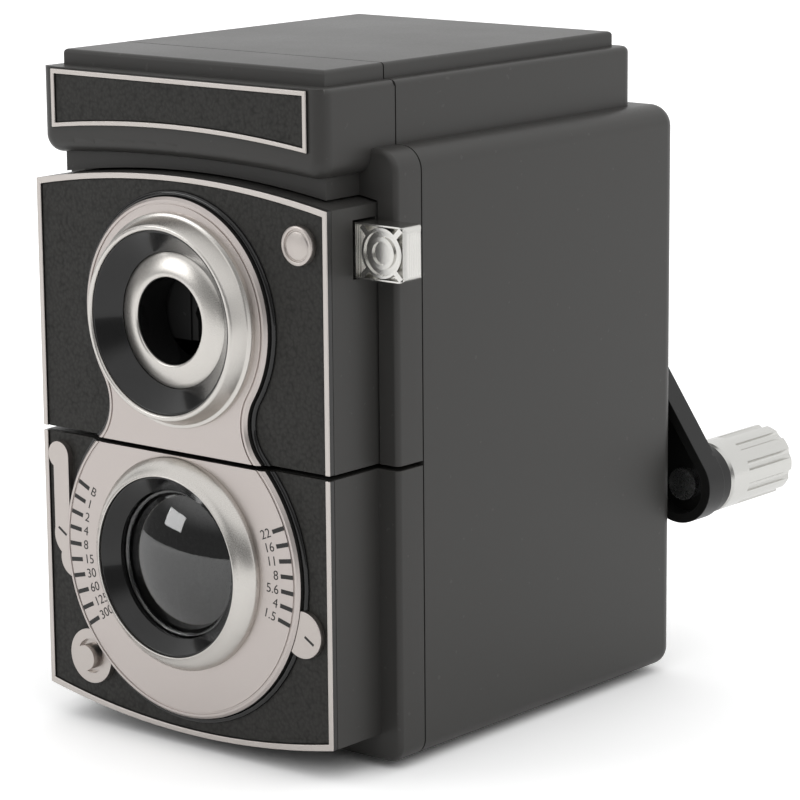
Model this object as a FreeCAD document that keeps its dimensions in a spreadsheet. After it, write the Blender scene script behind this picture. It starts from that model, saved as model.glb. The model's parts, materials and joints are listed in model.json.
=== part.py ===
import FreeCAD, Part
import math
import os
from types import SimpleNamespace

import Sketcher

V = FreeCAD.Vector

# Driving sizes in millimetres, degrees and counts. Depths run back from the front panel,
# heights run up from the bottom of the case, and half widths run out from the middle plane.
# An inset, drop, rise, gap or proud is measured from the piece that carries or meets the other.
SIZES = {
    # Case: a rear housing and a front cover that meet at the parting line
    "body_half_width": 36.1,
    "body_height": 100.0,
    "body_depth": 88.0,
    "case_wall": 2.4,
    "case_top_corner": 3.8,
    "case_bottom_corner": 3.0,
    "case_rear_corner": 3.4,
    "parting_depth": 18.1,
    "parting_gap": 0.3,
    "band_depth": 11.9,
    "band_edge": 0.9,
    "foot_height": 1.2,
    "foot_radius": 4.5,
    "foot_inset": 11.5,
    # Hood with its raised top tier, and the neck under it
    "hood_side_inset": 5.2,
    "hood_rise": 10.2,
    "hood_front_depth": 0.5,
    "hood_rear_inset": 6.0,
    "hood_drop": 4.1,
    "hood_arch_rise": 1.2,
    "hood_low_corner": 3.0,
    "hood_edge": 2.5,
    "hood_wall": 2.6,
    "tier_side_inset": 2.4,
    "tier_rise": 2.6,
    "tier_front_inset": 3.4,
    "tier_rear_inset": 3.1,
    "tier_edge": 0.7,
    # Inlay on the front of the hood
    "hood_inlay_side_inset": 3.0,
    "hood_inlay_lift": 4.3,
    "hood_inlay_drop": 0.3,
    "hood_inlay_rise": 1.65,
    "hood_border": 0.8,
    "hood_inlay_recess": 0.8,
    "inlay_fit": 0.05,
    # Front panels of the carriage and the drawer, with a seam between them
    "panel_side_inset": 4.2,
    "panel_drop": 8.5,
    "panel_top_rise": 2.9,
    "panel_low": 4.55,
    "panel_bottom_rise": 3.35,
    "seam_height": 49.1,
    "seam_gap": 0.8,
    "border_width": 0.95,
    "border_thickness": 1.2,
    "leather_recess": 0.35,
    "block_fit": 0.35,
    "block_wall": 2.0,
    "block_front_wall": 2.4,
    "block_rear_gap": 0.5,
    # Twin lens mounts
    "axis_rise": 22.0,
    "lower_lens_drop": 18.45,
    "upper_plate_radius": 20.0,
    "lower_plate_radius": 26.15,
    "plate_waist_radius": 8.0,
    "plate_proud": 1.2,
    "plate_bevel": 0.45,
    "plate_groove_inset": 0.85,
    "plate_groove_width": 0.3,
    "plate_groove_depth": 0.2,
    "lens_bore_radius": 15.05,
    "lens_fit": 0.05,
    "ring_step": 0.7,
    "ring_bow": 5.0,
    "rim_slope": 0.45,
    "cone_recess": 0.4,
    "cone_lip": 0.25,
    "upper_ring_radius": 17.6,
    "upper_rim_radius": 15.9,
    "upper_ring_proud": 4.85,
    "upper_cone_radius": 11.25,
    "guide_hole_radius": 7.1,
    "guide_edge_proud": 1.3,
    "guide_lip_proud": 1.8,
    "guide_crown_radius": 2.95,
    "guide_tube_radius": 8.6,
    "guide_tube_depth": 4.6,
    "lower_ring_radius": 17.85,
    "lower_rim_radius": 15.7,
    "lower_ring_proud": 4.6,
    "lower_cone_radius": 12.4,
    "lens_edge_proud": 2.0,
    "lens_crest_proud": 4.3,
    # Small trim on the front
    "stud_radius": 3.2,
    "stud_side_inset": 5.7,
    "stud_drop": 5.8,
    "stud_proud": 0.75,
    "lever_proud": 0.7,
    "lever_knob_radius": 2.3,
    "lever_side_inset": 4.0,
    "lever_knob_rise": 14.3,
    "lever_width": 3.5,
    "left_pointer_half_width": 25.3,
    "left_pointer_rise": 0.65,
    "right_pointer_half_width": 26.3,
    "right_pointer_drop": 7.7,
    "pointer_radius": 3.9,
    "boss_half_width": 21.4,
    "boss_drop": 19.6,
    "boss_radius": 4.7,
    "boss_cup_radius": 2.95,
    "boss_stud_radius": 2.15,
    "boss_stud_proud": 2.2,
    # Carriage guides and feed springs
    "rod_side_inset": 4.9,
    "rod_radius": 2.0,
    "rod_seat": 0.6,
    "rod_rear_inset": 8.0,
    "rod_boss_radius": 4.0,
    "collar_radius": 3.8,
    "collar_inset": 3.0,
    "collar_thickness": 2.5,
    "bush_radius": 3.4,
    "bush_flange_radius": 4.4,
    "bush_flange": 1.0,
    "running_fit": 0.05,
    "press_fit": 0.02,
    "feed_spring_radius": 2.95,
    "feed_spring_wire": 0.45,
    "feed_spring_turns": 6,
    "spring_seat": 0.25,
    # Pencil clamp: two crossed sliders with side tabs
    "tab_proud": 10.3,
    "left_tab_proud": 4.1,
    "tab_inset": 3.7,
    "tab_thickness": 4.85,
    "tab_band_gap": 0.5,
    "tab_drop": 2.4,
    "tab_height": 8.8,
    "tab_edge": 1.4,
    "tab_boss_inset": 4.8,
    "tab_boss_radius": 4.0,
    "tab_boss_margin": 0.15,
    "tab_sink": 1.3,
    "tab_sink_run": 1.0,
    "tab_rib_width": 0.9,
    "tab_lip_width": 0.45,
    "tab_ring_radius": 2.55,
    "tab_ring_width": 0.7,
    "tab_ring_groove": 0.35,
    "window_fit": 0.3,
    "slider_margin": 0.6,
    "slider_plate": 2.0,
    "slider_gap": 0.6,
    "slider_span": 7.6,
    "jaw_reach": 8.0,
    "jaw_pad_gap": 0.9,
    "jaw_pad_thickness": 1.3,
    "jaw_pad_notch": 0.6,
    "jaw_half_height": 4.5,
    "clamp_post_inner": 13.5,
    "clamp_post_outer": 15.0,
    "clamp_spring_radius": 1.35,
    "clamp_spring_wire": 0.25,
    "clamp_spring_turns": 4,
    "retainer_half_width": 22.0,
    "retainer_drop": 7.1,
    "retainer_thickness": 1.5,
    "retainer_hole_radius": 5.0,
    "retainer_post_radius": 2.4,
    "rail_gap": 0.4,
    "rail_thickness": 2.0,
    # Drawer
    "tray_side_gap": 0.7,
    "tray_drop": 3.1,
    "tray_rear_inset": 6.0,
    "tray_wall": 1.6,
    "tray_fit": 0.3,
    # Cutter frame inside the case
    "frame_plate_inset": 56.0,
    "frame_plate": 3.0,
    "frame_fit": 0.3,
    "shelf_rise": 0.9,
    "shelf_thickness": 2.0,
    "chip_window_half_width": 17.5,
    "chip_window_inset": 13.0,
    "frame_screw_side_inset": 3.2,
    "frame_screw_rise": 9.0,
    "frame_screw_drop": 13.0,
    "frame_screw_radius": 1.25,
    "frame_screw_head_radius": 2.3,
    "frame_screw_head": 1.6,
    "frame_screw_length": 10.0,
    "frame_boss_half_width": 3.0,
    # Planetary cutter: both gears and the cutter share one apex on the crank axis
    "apex_behind": 5.4,
    "cutter_tilt": 11.0,
    "cutter_radius": 5.6,
    "cutter_root_radius": 4.5,
    "cutter_blades": 8,
    "cutter_twist": 70.0,
    "cutter_rake_share": 0.15,
    "cutter_near": 26.5,
    "cutter_far": 51.2,
    "pinion_far": 57.0,
    "pinion_teeth": 12,
    "ring_teeth": 36,
    "tooth_addendum": 0.7,
    "tooth_dedendum": 0.95,
    "tooth_share": 0.4,
    "tooth_taper": 0.42,
    "ring_radius": 21.0,
    "ring_entry_radius": 17.8,
    "ring_thickness": 8.1,
    "ring_mouth": 3.2,
    "pin_radius": 1.5,
    "pin_near": 22.4,
    "pin_far": 60.8,
    "carrier_flange_radius": 14.1,
    "carrier_flange_step": 0.2,
    "carrier_flange": 3.5,
    "pencil_hole_radius": 4.4,
    "pencil_mouth_radius": 6.6,
    "carrier_radius": 12.8,
    "carrier_wall": 3.0,
    "carrier_span": 120.0,
    "carrier_web_inset": 19.0,
    "carrier_web": 4.0,
    "carrier_hub_radius": 7.0,
    "carrier_hub_gap": 0.6,
    # Crank
    "shaft_radius": 4.0,
    "shaft_end_inset": 0.5,
    "bearing_radius": 7.0,
    "bearing_flange_radius": 9.5,
    "bearing_flange": 1.0,
    "bearing_boss_radius": 11.0,
    "bearing_boss": 4.0,
    "arm_collar_length": 0.6,
    "arm_thickness": 4.7,
    "arm_floor": 2.0,
    "arm_rim": 1.7,
    "arm_hub_radius": 13.6,
    "arm_end_radius": 6.8,
    "arm_collar_radius": 7.5,
    "arm_collar_gap": 0.4,
    "crank_radius": 52.8,
    "crank_angle": 42.0,
    "hub_cap_radius": 6.0,
    "hub_cap_proud": 1.8,
    "knob_boss_radius": 6.4,
    "knob_boss_proud": 2.7,
    "knob_pin_radius": 2.2,
    "knob_pin_head_radius": 2.9,
    "knob_pin_head": 1.5,
    "knob_gap": 0.3,
    "knob_radius": 6.35,
    "knob_length": 19.9,
    "knob_cap": 3.0,
    "knob_plain_length": 5.6,
    "knob_flutes": 10,
    "knob_flute_radius": 0.85,
    "knob_edge": 0.8,
}


class Size:
    """A measure that keeps its value together with the expression that works it out."""

    def __init__(self, value, text):
        self.value = value
        self.text = text

    def __add__(self, other):
        other = as_size(other)
        return Size(self.value + other.value, f"({self.text} + {other.text})")

    def __radd__(self, other):
        return as_size(other) + self

    def __sub__(self, other):
        other = as_size(other)
        return Size(self.value - other.value, f"({self.text} - {other.text})")

    def __rsub__(self, other):
        return as_size(other) - self

    def __mul__(self, other):
        other = as_size(other)
        return Size(self.value * other.value, f"({self.text} * {other.text})")

    def __rmul__(self, other):
        return as_size(other) * self

    def __truediv__(self, other):
        other = as_size(other)
        return Size(self.value / other.value, f"({self.text} / {other.text})")

    def __neg__(self):
        return Size(-self.value, f"(-1 * {self.text})")


def as_size(number):
    return number if isinstance(number, Size) else Size(float(number), repr(float(number)))


def root(size):
    return Size(math.sqrt(size.value), f"sqrt({size.text})")


def sine(angle):
    return Size(math.sin(math.radians(angle.value)), f"sin({angle.text})")


def cosine(angle):
    return Size(math.cos(math.radians(angle.value)), f"cos({angle.text})")


class Arc:
    """A round run of an outline: its radius and a point that it passes near its middle."""

    def __init__(self, radius, u, v):
        self.radius = as_size(radius)
        self.middle = (as_size(u), as_size(v))


class Circle:
    """A round loop of a sketch."""

    def __init__(self, u, v, radius):
        self.centre = (as_size(u), as_size(v))
        self.radius = as_size(radius)


doc = FreeCAD.newDocument("crank_sharpener")
sheet = doc.addObject("Spreadsheet::Sheet", "sizes")
for row, (name, value) in enumerate(SIZES.items(), 1):
    sheet.set(f"A{row}", name)
    sheet.set(f"B{row}", str(value))
    sheet.setAlias(f"B{row}", name)
doc.recompute()
s = SimpleNamespace(**{name: Size(float(value), f"sizes.{name}") for name, value in SIZES.items()})

# Half widths that follow from the case
s.hood_half_width = s.body_half_width - s.hood_side_inset
s.tier_half_width = s.hood_half_width - s.tier_side_inset
s.hood_inlay_half_width = s.hood_half_width - s.hood_inlay_side_inset
s.panel_half_width = s.body_half_width - s.panel_side_inset
s.stud_half_width = s.panel_half_width - s.stud_side_inset
s.lever_knob_half_width = s.panel_half_width - s.lever_side_inset
s.rod_half_spacing = s.panel_half_width - s.rod_side_inset
s.tab_inner = s.panel_half_width - s.tab_inset
s.tray_half_width = s.body_half_width - s.case_wall - s.tray_side_gap
s.frame_screw_half_spacing = s.body_half_width - s.case_wall - s.frame_screw_side_inset

# Heights that follow from the case's top, the seam and the two lens axes
s.hood_height = s.body_height + s.hood_rise
s.hood_low_height = s.body_height - s.hood_drop
s.tier_height = s.hood_height + s.tier_rise
s.hood_inlay_low = s.hood_low_height + s.hood_inlay_lift
s.hood_inlay_high = s.hood_height - s.hood_inlay_drop
s.panel_high = s.body_height - s.panel_drop
s.axis_height = s.seam_height + s.axis_rise
s.lower_lens_height = s.seam_height - s.lower_lens_drop
s.stud_height = s.panel_high - s.stud_drop
s.lever_knob_height = s.lower_lens_height + s.lever_knob_rise
s.left_pointer_height = s.lower_lens_height + s.left_pointer_rise
s.right_pointer_height = s.lower_lens_height - s.right_pointer_drop
s.boss_height = s.lower_lens_height - s.boss_drop
s.tab_high = s.panel_high - s.tab_drop
s.tab_low = s.tab_high - s.tab_height
s.slider_low = s.tab_low + s.slider_margin
s.slider_high = s.tab_high - s.slider_margin
s.jaw_low = s.axis_height - s.jaw_half_height
s.retainer_low = s.axis_height - s.retainer_drop
s.tray_height = s.seam_height - s.tray_drop
s.shelf_height = s.seam_height + s.shelf_rise
s.frame_screw_low = s.shelf_height + s.frame_screw_rise
s.frame_screw_high = s.body_height - s.frame_screw_drop

# Depths that follow from the front panel, the parting line and the rear wall
s.hood_rear_depth = s.body_depth - s.hood_rear_inset
s.tier_front_depth = s.hood_front_depth + s.tier_front_inset
s.tier_rear_depth = s.hood_rear_depth - s.tier_rear_inset
s.block_rear_depth = s.parting_depth - s.block_rear_gap
s.rod_front_depth = s.border_thickness + s.block_front_wall + s.rod_seat
s.rod_rear_depth = s.body_depth - s.rod_rear_inset
s.collar_depth = s.rod_rear_depth - s.collar_inset
s.tab_back_depth = s.band_depth - s.tab_band_gap
s.tab_front_depth = s.tab_back_depth - s.tab_thickness
s.slider_front_depth = s.guide_tube_depth + s.slider_gap
s.slider_rear_depth = s.slider_front_depth + s.slider_span
s.tray_rear_depth = s.body_depth - s.tray_rear_inset
s.frame_plate_depth = s.body_depth - s.frame_plate_inset
s.chip_window_rear = s.body_depth - s.chip_window_inset
s.apex_depth = s.body_depth + s.apex_behind
s.ring_rear_depth = s.frame_plate_depth + s.frame_plate + s.ring_thickness
s.ring_tooth_depth = s.frame_plate_depth + s.frame_plate + s.ring_mouth
s.carrier_flange_depth = s.frame_plate_depth + s.carrier_flange_step
s.carrier_web_depth = s.body_depth - s.carrier_web_inset
s.carrier_hub_depth = s.body_depth - s.case_wall - s.bearing_boss - s.carrier_hub_gap
s.arm_collar_depth = s.body_depth + s.bearing_flange + s.arm_collar_gap
s.arm_front_depth = s.arm_collar_depth + s.arm_collar_length
s.shaft_rear_depth = s.arm_front_depth + s.arm_thickness - s.shaft_end_inset
s.knob_boss_depth = s.arm_front_depth + s.arm_thickness + s.knob_boss_proud

# The right tab reaches past the case, so the middle plane lies a little to the left of the origin.
middle_x = (s.body_half_width - s.panel_half_width - s.tab_proud) / 2
pieces = []
across = {}

PLANES = {"front": "XZ_Plane", "side": "YZ_Plane", "top": "XY_Plane"}
ROUNDING = 1 - math.sqrt(0.5)
NEAR = 0.01
WIRE_SIDES = 4
CUTTER_SECTIONS = 5
DIAGONAL = math.sqrt(0.5)


def new_body(name):
    return doc.addObject("PartDesign::Body", name)


def keep(piece, name):
    """Give a finished sub-part the label that names its node, and set it about the middle plane."""
    piece.Label = name
    x = across.get(piece.Name, as_size(0)) + middle_x
    piece.setExpression("Placement.Base.x", x.text)
    pieces.append(piece)
    return piece


class Sketching:
    """Geometry and constraints of one sketch, gathered and then given to it together."""

    def __init__(self):
        self.geometry = []
        self.constraints = []
        self.bound = []

    def hold(self, size, kind, *where):
        """Hold an ordinate or a radius at a size."""
        self.bound.append((len(self.constraints), size.text))
        self.constraints.append(Sketcher.Constraint(kind, *where, size.value))

    def hold_point(self, geometry, point, u, v):
        self.hold(u, "DistanceX", -1, 1, geometry, point)
        self.hold(v, "DistanceY", -1, 1, geometry, point)

    def add_outline(self, outline):
        """A closed outline of corners (u, v); a third entry is the arc that runs to the next corner."""
        base = len(self.geometry)
        count = len(outline)
        corners = [(as_size(corner[0]), as_size(corner[1])) for corner in outline]
        points = [V(u.value, v.value, 0) for u, v in corners]
        ends = []
        for i, corner in enumerate(outline):
            start, end = points[i], points[(i + 1) % count]
            if len(corner) == 2:
                self.geometry.append(Part.LineSegment(start, end))
                ends.append((1, 2))
                continue
            middle = V(corner[2].middle[0].value, corner[2].middle[1].value, 0)
            left_turn = (middle - start).cross(end - middle).z > 0
            run = (start, middle, end) if left_turn else (end, middle, start)
            self.geometry.append(Part.Arc(*run))
            ends.append((1, 2) if left_turn else (2, 1))
        for i, corner in enumerate(outline):
            after = (i + 1) % count
            meeting = (base + i, ends[i][1], base + after, ends[after][0])
            self.constraints.append(Sketcher.Constraint("Coincident", *meeting))
            self.hold_point(base + i, ends[i][0], *corners[i])
            if len(corner) == 3:
                self.hold(corner[2].radius, "Radius", base + i)

    def add_circle(self, circle):
        index = len(self.geometry)
        centre = V(circle.centre[0].value, circle.centre[1].value, 0)
        self.geometry.append(Part.Circle(centre, V(0, 0, 1), circle.radius.value))
        self.hold_point(index, 3, *circle.centre)
        self.hold(circle.radius, "Radius", index)

    def give_to(self, sketch):
        sketch.addGeometry(self.geometry, False)
        sketch.addConstraint(self.constraints)
        for index, text in self.bound:
            sketch.setExpression(f"Constraints[{index}]", text)


def draw(body, plane, offset, loops):
    """A sketch on one of the body's own planes, moved along the plane's normal."""
    sketch = body.newObject("Sketcher::SketchObject", "outline")
    origin = next(f for f in body.Origin.OriginFeatures if f.Role == PLANES[plane])
    sketch.AttachmentSupport = (origin, "")
    sketch.MapMode = "FlatFace"
    sketch.setExpression("AttachmentOffset.Base.z", as_size(offset).text)
    sketching = Sketching()
    for loop in loops:
        if isinstance(loop, Circle):
            sketching.add_circle(loop)
        else:
            sketching.add_outline(loop)
    sketching.give_to(sketch)
    return sketch


def pad(body, plane, low, high, *loops):
    """Material between two places along an axis: depths for the front plane, else low to high."""
    low, high = as_size(low), as_size(high)
    feature = body.newObject("PartDesign::Pad", "pad")
    feature.Profile = draw(body, plane, -high if plane == "front" else low, loops)
    feature.setExpression("Length", (high - low).text)
    return feature


def cut(body, plane, low, high, *loops):
    """Material taken away between two places along an axis."""
    low, high = as_size(low), as_size(high)
    feature = body.newObject("PartDesign::Pocket", "pocket")
    feature.Profile = draw(body, plane, -low if plane == "front" else high, loops)
    feature.setExpression("Length", (high - low).text)
    return feature


def turn(body, profile, sweep=360.0):
    """A revolved profile of (depth, radius) corners about the body's own Y axis."""
    feature = body.newObject("PartDesign::Revolution", "turned")
    sketch = draw(body, "side", 0, [profile])
    feature.Profile = sketch
    feature.ReferenceAxis = (sketch, ["H_Axis"])
    sweep = as_size(sweep)
    feature.setExpression("Angle", sweep.text)
    feature.Midplane = sweep.value < 360
    return feature


def round_edges(body, radius, chosen):
    """Round the edges of the body so far that the test accepts."""
    doc.recompute()
    base = body.Tip
    names = [f"Edge{i}" for i, edge in enumerate(base.Shape.Edges, 1) if chosen(edge.BoundBox)]
    feature = body.newObject("PartDesign::Fillet", "rounded")
    feature.Base = (base, names)
    feature.setExpression("Radius", radius.text)
    doc.recompute()
    return feature


def bevel_edges(body, width, chosen):
    """Bevel the edges of the body so far that the test accepts."""
    doc.recompute()
    base = body.Tip
    names = [f"Edge{i}" for i, edge in enumerate(base.Shape.Edges, 1) if chosen(edge.BoundBox)]
    feature = body.newObject("PartDesign::Chamfer", "bevelled")
    feature.Base = (base, names)
    feature.setExpression("Size", width.text)
    doc.recompute()
    return feature


def place(piece, x=0, y=0, z=0, axis=None, angle=None):
    """Put a sub-part at its place from the middle plane, turned about one of its own axes."""
    x, y, z = as_size(x), as_size(y), as_size(z)
    across[piece.Name] = x
    turned = FreeCAD.Rotation()
    if axis is not None:
        turned = FreeCAD.Rotation(axis, as_size(angle).value)
    piece.Placement = FreeCAD.Placement(V(x.value, y.value, z.value), turned)
    piece.setExpression("Placement.Base.x", x.text)
    piece.setExpression("Placement.Base.y", y.text)
    piece.setExpression("Placement.Base.z", z.text)
    if axis is not None:
        piece.setExpression("Placement.Rotation.Angle", as_size(angle).text)
    return piece


def group(name, members):
    """Several like solids in one node."""
    compound = doc.addObject("Part::Compound", name)
    compound.Links = members
    return keep(compound, name)


def cylinder(name, radius, length, x, y, z, axis=V(1, 0, 0), angle=-90.0):
    """A round bar that starts at a point and runs along +Y unless it is turned otherwise."""
    bar = doc.addObject("Part::Cylinder", name)
    bar.setExpression("Radius", as_size(radius).text)
    bar.setExpression("Height", as_size(length).text)
    return place(bar, x, y, z, axis, angle)


def subtract(name, base, tool):
    result = doc.addObject("Part::Cut", name)
    result.Base = base
    result.Tool = tool
    return result


def box_outline(u_low, v_low, u_high, v_high):
    return [(u_low, v_low), (u_high, v_low), (u_high, v_high), (u_low, v_high)]


def rounded_outline(half, low, high, low_radius, high_radius):
    """A box outline, even about the middle plane, with rounded lower and upper corners."""
    outline = []
    for side, end, radius, first in (
        (1, low, low_radius, True),
        (1, high, high_radius, False),
        (-1, high, high_radius, True),
        (-1, low, low_radius, False),
    ):
        end = as_size(end)
        upward = 1 if end is high else -1
        if radius is None:
            outline.append((side * half, end))
            continue
        flat = (side * (half - radius), end)
        upright = (side * half, end - upward * radius)
        bend = Arc(radius, side * (half - ROUNDING * radius), end - upward * ROUNDING * radius)
        if first:
            outline += [(*flat, bend), upright]
        else:
            outline += [(*upright, bend), flat]
    return outline


def arch_radius(half, rise):
    return (half * half + rise * rise) / (2 * rise)


def top_arched(half, low, high, rise):
    """A panel outline with a straight lower edge and an upper edge that rises in the middle."""
    arch = Arc(arch_radius(half, rise), 0, high + rise)
    return [(-half, low), (half, low), (half, high, arch), (-half, high)]


def bottom_arched(half, low, high, rise):
    """A panel outline with a straight upper edge and a lower edge that bows down in the middle."""
    arch = Arc(arch_radius(half, rise), 0, low - rise)
    return [(-half, low, arch), (half, low), (half, high), (-half, high)]


def hollow_arched(half, low, high, rise):
    """A panel outline with a straight upper edge and a lower edge that rises in the middle."""
    arch = Arc(arch_radius(half, rise), 0, low + rise)
    return [(-half, low, arch), (half, low), (half, high), (-half, high)]


# The front panel's place puts the middle of the whole depth at the origin.
rear_reach = s.knob_boss_depth + s.knob_gap + s.knob_length
panel_y = (s.upper_ring_proud - rear_reach) / 2


def depth(size):
    """Place along Y of a depth behind the front panel."""
    return panel_y + size


def height(size):
    """Place along Z of a height above the bottom of the case."""
    return s.foot_height + size


parting_front = depth(s.parting_depth - s.parting_gap / 2)
parting_rear = depth(s.parting_depth + s.parting_gap / 2)
axis_z = height(s.axis_height)
lower_lens_z = height(s.lower_lens_height)
case_inner = s.body_half_width - s.case_wall
rear_wall = depth(s.body_depth - s.case_wall)
frame_front = depth(s.frame_plate_depth)
frame_rear = depth(s.frame_plate_depth + s.frame_plate)
upper_low = height(s.seam_height + s.seam_gap / 2)
lower_high = height(s.seam_height - s.seam_gap / 2)


def make_rear_housing():
    """The moulded rear shell: a box with a stepped hood, open at the parting line."""
    body = new_body("rear_housing")
    rear = depth(s.body_depth)
    outer = rounded_outline(
        s.body_half_width, height(0), height(s.body_height), s.case_bottom_corner, s.case_top_corner
    )
    pad(body, "front", parting_rear, rear, outer)
    round_edges(body, s.case_rear_corner, lambda box: box.YMin > rear.value - NEAR)
    hood_rear = depth(s.hood_rear_depth)
    hood_root = height(s.body_height - s.case_wall)
    hood_top = height(s.hood_height)
    hood = box_outline(-s.hood_half_width, parting_rear, s.hood_half_width, hood_rear)
    pad(body, "top", hood_root, hood_top, hood)
    tier_rear = depth(s.tier_rear_depth)
    tier_top = height(s.tier_height)
    tier = box_outline(-s.tier_half_width, parting_rear, s.tier_half_width, tier_rear)
    pad(body, "top", hood_top - s.hood_wall, tier_top, tier)
    round_edges(body, s.hood_edge, lambda box: box.YMin > hood_rear.value - NEAR and box.XLength < NEAR)
    round_edges(
        body,
        s.tier_edge,
        lambda box: box.ZMin > tier_top.value - NEAR and box.YMax > parting_rear.value + NEAR,
    )
    room = box_outline(-case_inner, height(s.case_wall), case_inner, height(s.body_height - s.case_wall))
    cut(body, "front", parting_rear, rear_wall, room)
    hood_inner = s.hood_half_width - s.hood_wall
    loft = box_outline(-hood_inner, hood_root - s.case_wall, hood_inner, hood_top - s.hood_wall)
    cut(body, "front", parting_rear, hood_rear - s.hood_wall, loft)
    pad(body, "front", rear_wall - s.bearing_boss, rear_wall, Circle(0, axis_z, s.bearing_boss_radius))
    hole = Circle(0, axis_z, s.bearing_radius + s.press_fit)
    cut(body, "front", rear_wall - s.bearing_boss, rear, hole)
    boss_inner = s.frame_screw_half_spacing - s.frame_boss_half_width
    for side in (1, -1):
        for level in (s.frame_screw_low, s.frame_screw_high):
            middle = height(level)
            boss = box_outline(
                side * boss_inner,
                middle - s.frame_boss_half_width,
                side * (case_inner + s.case_wall / 2),
                middle + s.frame_boss_half_width,
            )
            pad(body, "front", frame_rear, frame_rear + s.frame_screw_length, boss)
            bore = Circle(side * s.frame_screw_half_spacing, middle, s.frame_screw_radius + s.press_fit)
            cut(body, "front", frame_rear, frame_rear + s.frame_screw_length, bore)
    return keep(body, "rear_housing")


def make_front_cover():
    """The front moulding: an inverted-U band, the neck above the carriage and the hood's front."""
    body = new_body("front_cover")
    top = height(s.body_height)
    band_front = depth(s.band_depth)
    hood_top = height(s.hood_height)
    band = rounded_outline(s.body_half_width, upper_low, top, None, s.case_top_corner)
    pad(body, "front", band_front, parting_front, band)
    round_edges(
        body,
        s.band_edge,
        lambda box: box.YMax < band_front.value + NEAR and box.ZMax > upper_low.value + NEAR,
    )
    low = height(s.hood_low_height)
    corner = s.hood_low_corner
    half = s.hood_half_width
    arch = Arc(arch_radius(half - corner, s.hood_arch_rise), 0, low + s.hood_arch_rise)
    lift = ROUNDING * corner
    hood = [
        (corner - half, low, arch),
        (half - corner, low, Arc(corner, half - lift, low + lift)),
        (half, low + corner),
        (half, hood_top),
        (-half, hood_top),
        (-half, low + corner, Arc(corner, lift - half, low + lift)),
    ]
    hood_front = depth(s.hood_front_depth)
    pad(body, "front", hood_front, parting_front, hood)
    round_edges(
        body,
        s.hood_edge,
        lambda box: box.YMax < hood_front.value + NEAR and box.ZMin < hood_top.value - NEAR,
    )
    tier_front = depth(s.tier_front_depth)
    neck = box_outline(-s.tier_half_width, height(s.panel_high), s.tier_half_width, low + corner)
    pad(body, "front", tier_front, parting_front, neck)
    tier_top = height(s.tier_height)
    tier = box_outline(-s.tier_half_width, tier_front, s.tier_half_width, parting_front)
    pad(body, "top", hood_top - s.hood_wall, tier_top, tier)
    round_edges(
        body,
        s.tier_edge,
        lambda box: box.ZMin > tier_top.value - NEAR and box.YMin < parting_front.value - NEAR,
    )
    opening = top_arched(
        s.panel_half_width + s.block_fit,
        upper_low - s.case_wall,
        height(s.panel_high) + s.block_fit,
        s.panel_top_rise,
    )
    cut(body, "front", tier_front - s.case_wall, parting_front, opening)
    hood_inner = s.hood_half_width - s.hood_wall
    loft = box_outline(
        -hood_inner, top - s.case_wall / 2, hood_inner, hood_top - s.hood_wall
    )
    cut(body, "front", hood_front + s.hood_wall + s.hood_inlay_recess, parting_front, loft)
    recess = hood_inlay(s.inlay_fit)
    cut(body, "front", hood_front, hood_front + s.hood_inlay_recess, recess)
    return keep(body, "front_cover")


def hood_inlay(grow):
    return hollow_arched(
        s.hood_inlay_half_width + grow,
        height(s.hood_inlay_low) - grow,
        height(s.hood_inlay_high) + grow,
        s.hood_inlay_rise,
    )


def make_hood_inlay():
    """The bright frame on the hood's front and the grained inlay that it surrounds."""
    seat = depth(s.hood_front_depth + s.hood_inlay_recess)
    frame = new_body("hood_trim_frame")
    pad(frame, "front", panel_y, seat, hood_inlay(as_size(0)), hood_inlay(-s.hood_border))
    keep(frame, "hood_trim_frame")
    inlay = new_body("hood_leatherette")
    front = depth(s.leather_recess)
    pad(inlay, "front", front, seat, hood_inlay(-s.hood_border - s.inlay_fit))
    keep(inlay, "hood_leatherette")


def make_feet():
    """Four rubber feet under the corners of the rear housing."""
    feet = []
    x = s.body_half_width - s.foot_inset
    for y in (parting_rear + s.foot_inset, depth(s.body_depth) - s.foot_inset):
        for side in (1, -1):
            foot = doc.addObject("Part::Cylinder", "foot")
            foot.setExpression("Radius", s.foot_radius.text)
            foot.setExpression("Height", s.foot_height.text)
            feet.append(place(foot, side * x, y, 0))
    group("rubber_feet", feet)


def make_cutter_frame():
    """The inner frame: an upright plate that carries the ring gear and a shelf above the drawer."""
    body = new_body("cutter_frame")
    half = case_inner - s.frame_fit
    shelf_low = height(s.shelf_height)
    top = height(s.body_height - s.case_wall) - s.frame_fit
    shelf_front = parting_rear + s.frame_fit
    pad(body, "front", frame_front, frame_rear, box_outline(-half, shelf_low, half, top))
    shelf = box_outline(-half, shelf_low, half, shelf_low + s.shelf_thickness)
    pad(body, "front", shelf_front, rear_wall - s.frame_fit, shelf)
    chute = box_outline(
        -s.chip_window_half_width,
        frame_rear,
        s.chip_window_half_width,
        depth(s.chip_window_rear),
    )
    cut(body, "top", shelf_low, shelf_low + s.shelf_thickness, chute)
    bore = Circle(0, axis_z, s.carrier_flange_radius + s.running_fit)
    holes = [bore]
    for side in (1, -1):
        holes.append(Circle(side * s.rod_half_spacing, axis_z, s.bush_radius + s.press_fit))
        for level in (s.frame_screw_low, s.frame_screw_high):
            hole_radius = s.frame_screw_radius + s.running_fit
            holes.append(Circle(side * s.frame_screw_half_spacing, height(level), hole_radius))
    cut(body, "front", frame_front, frame_rear, *holes)
    return keep(body, "cutter_frame")


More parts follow.
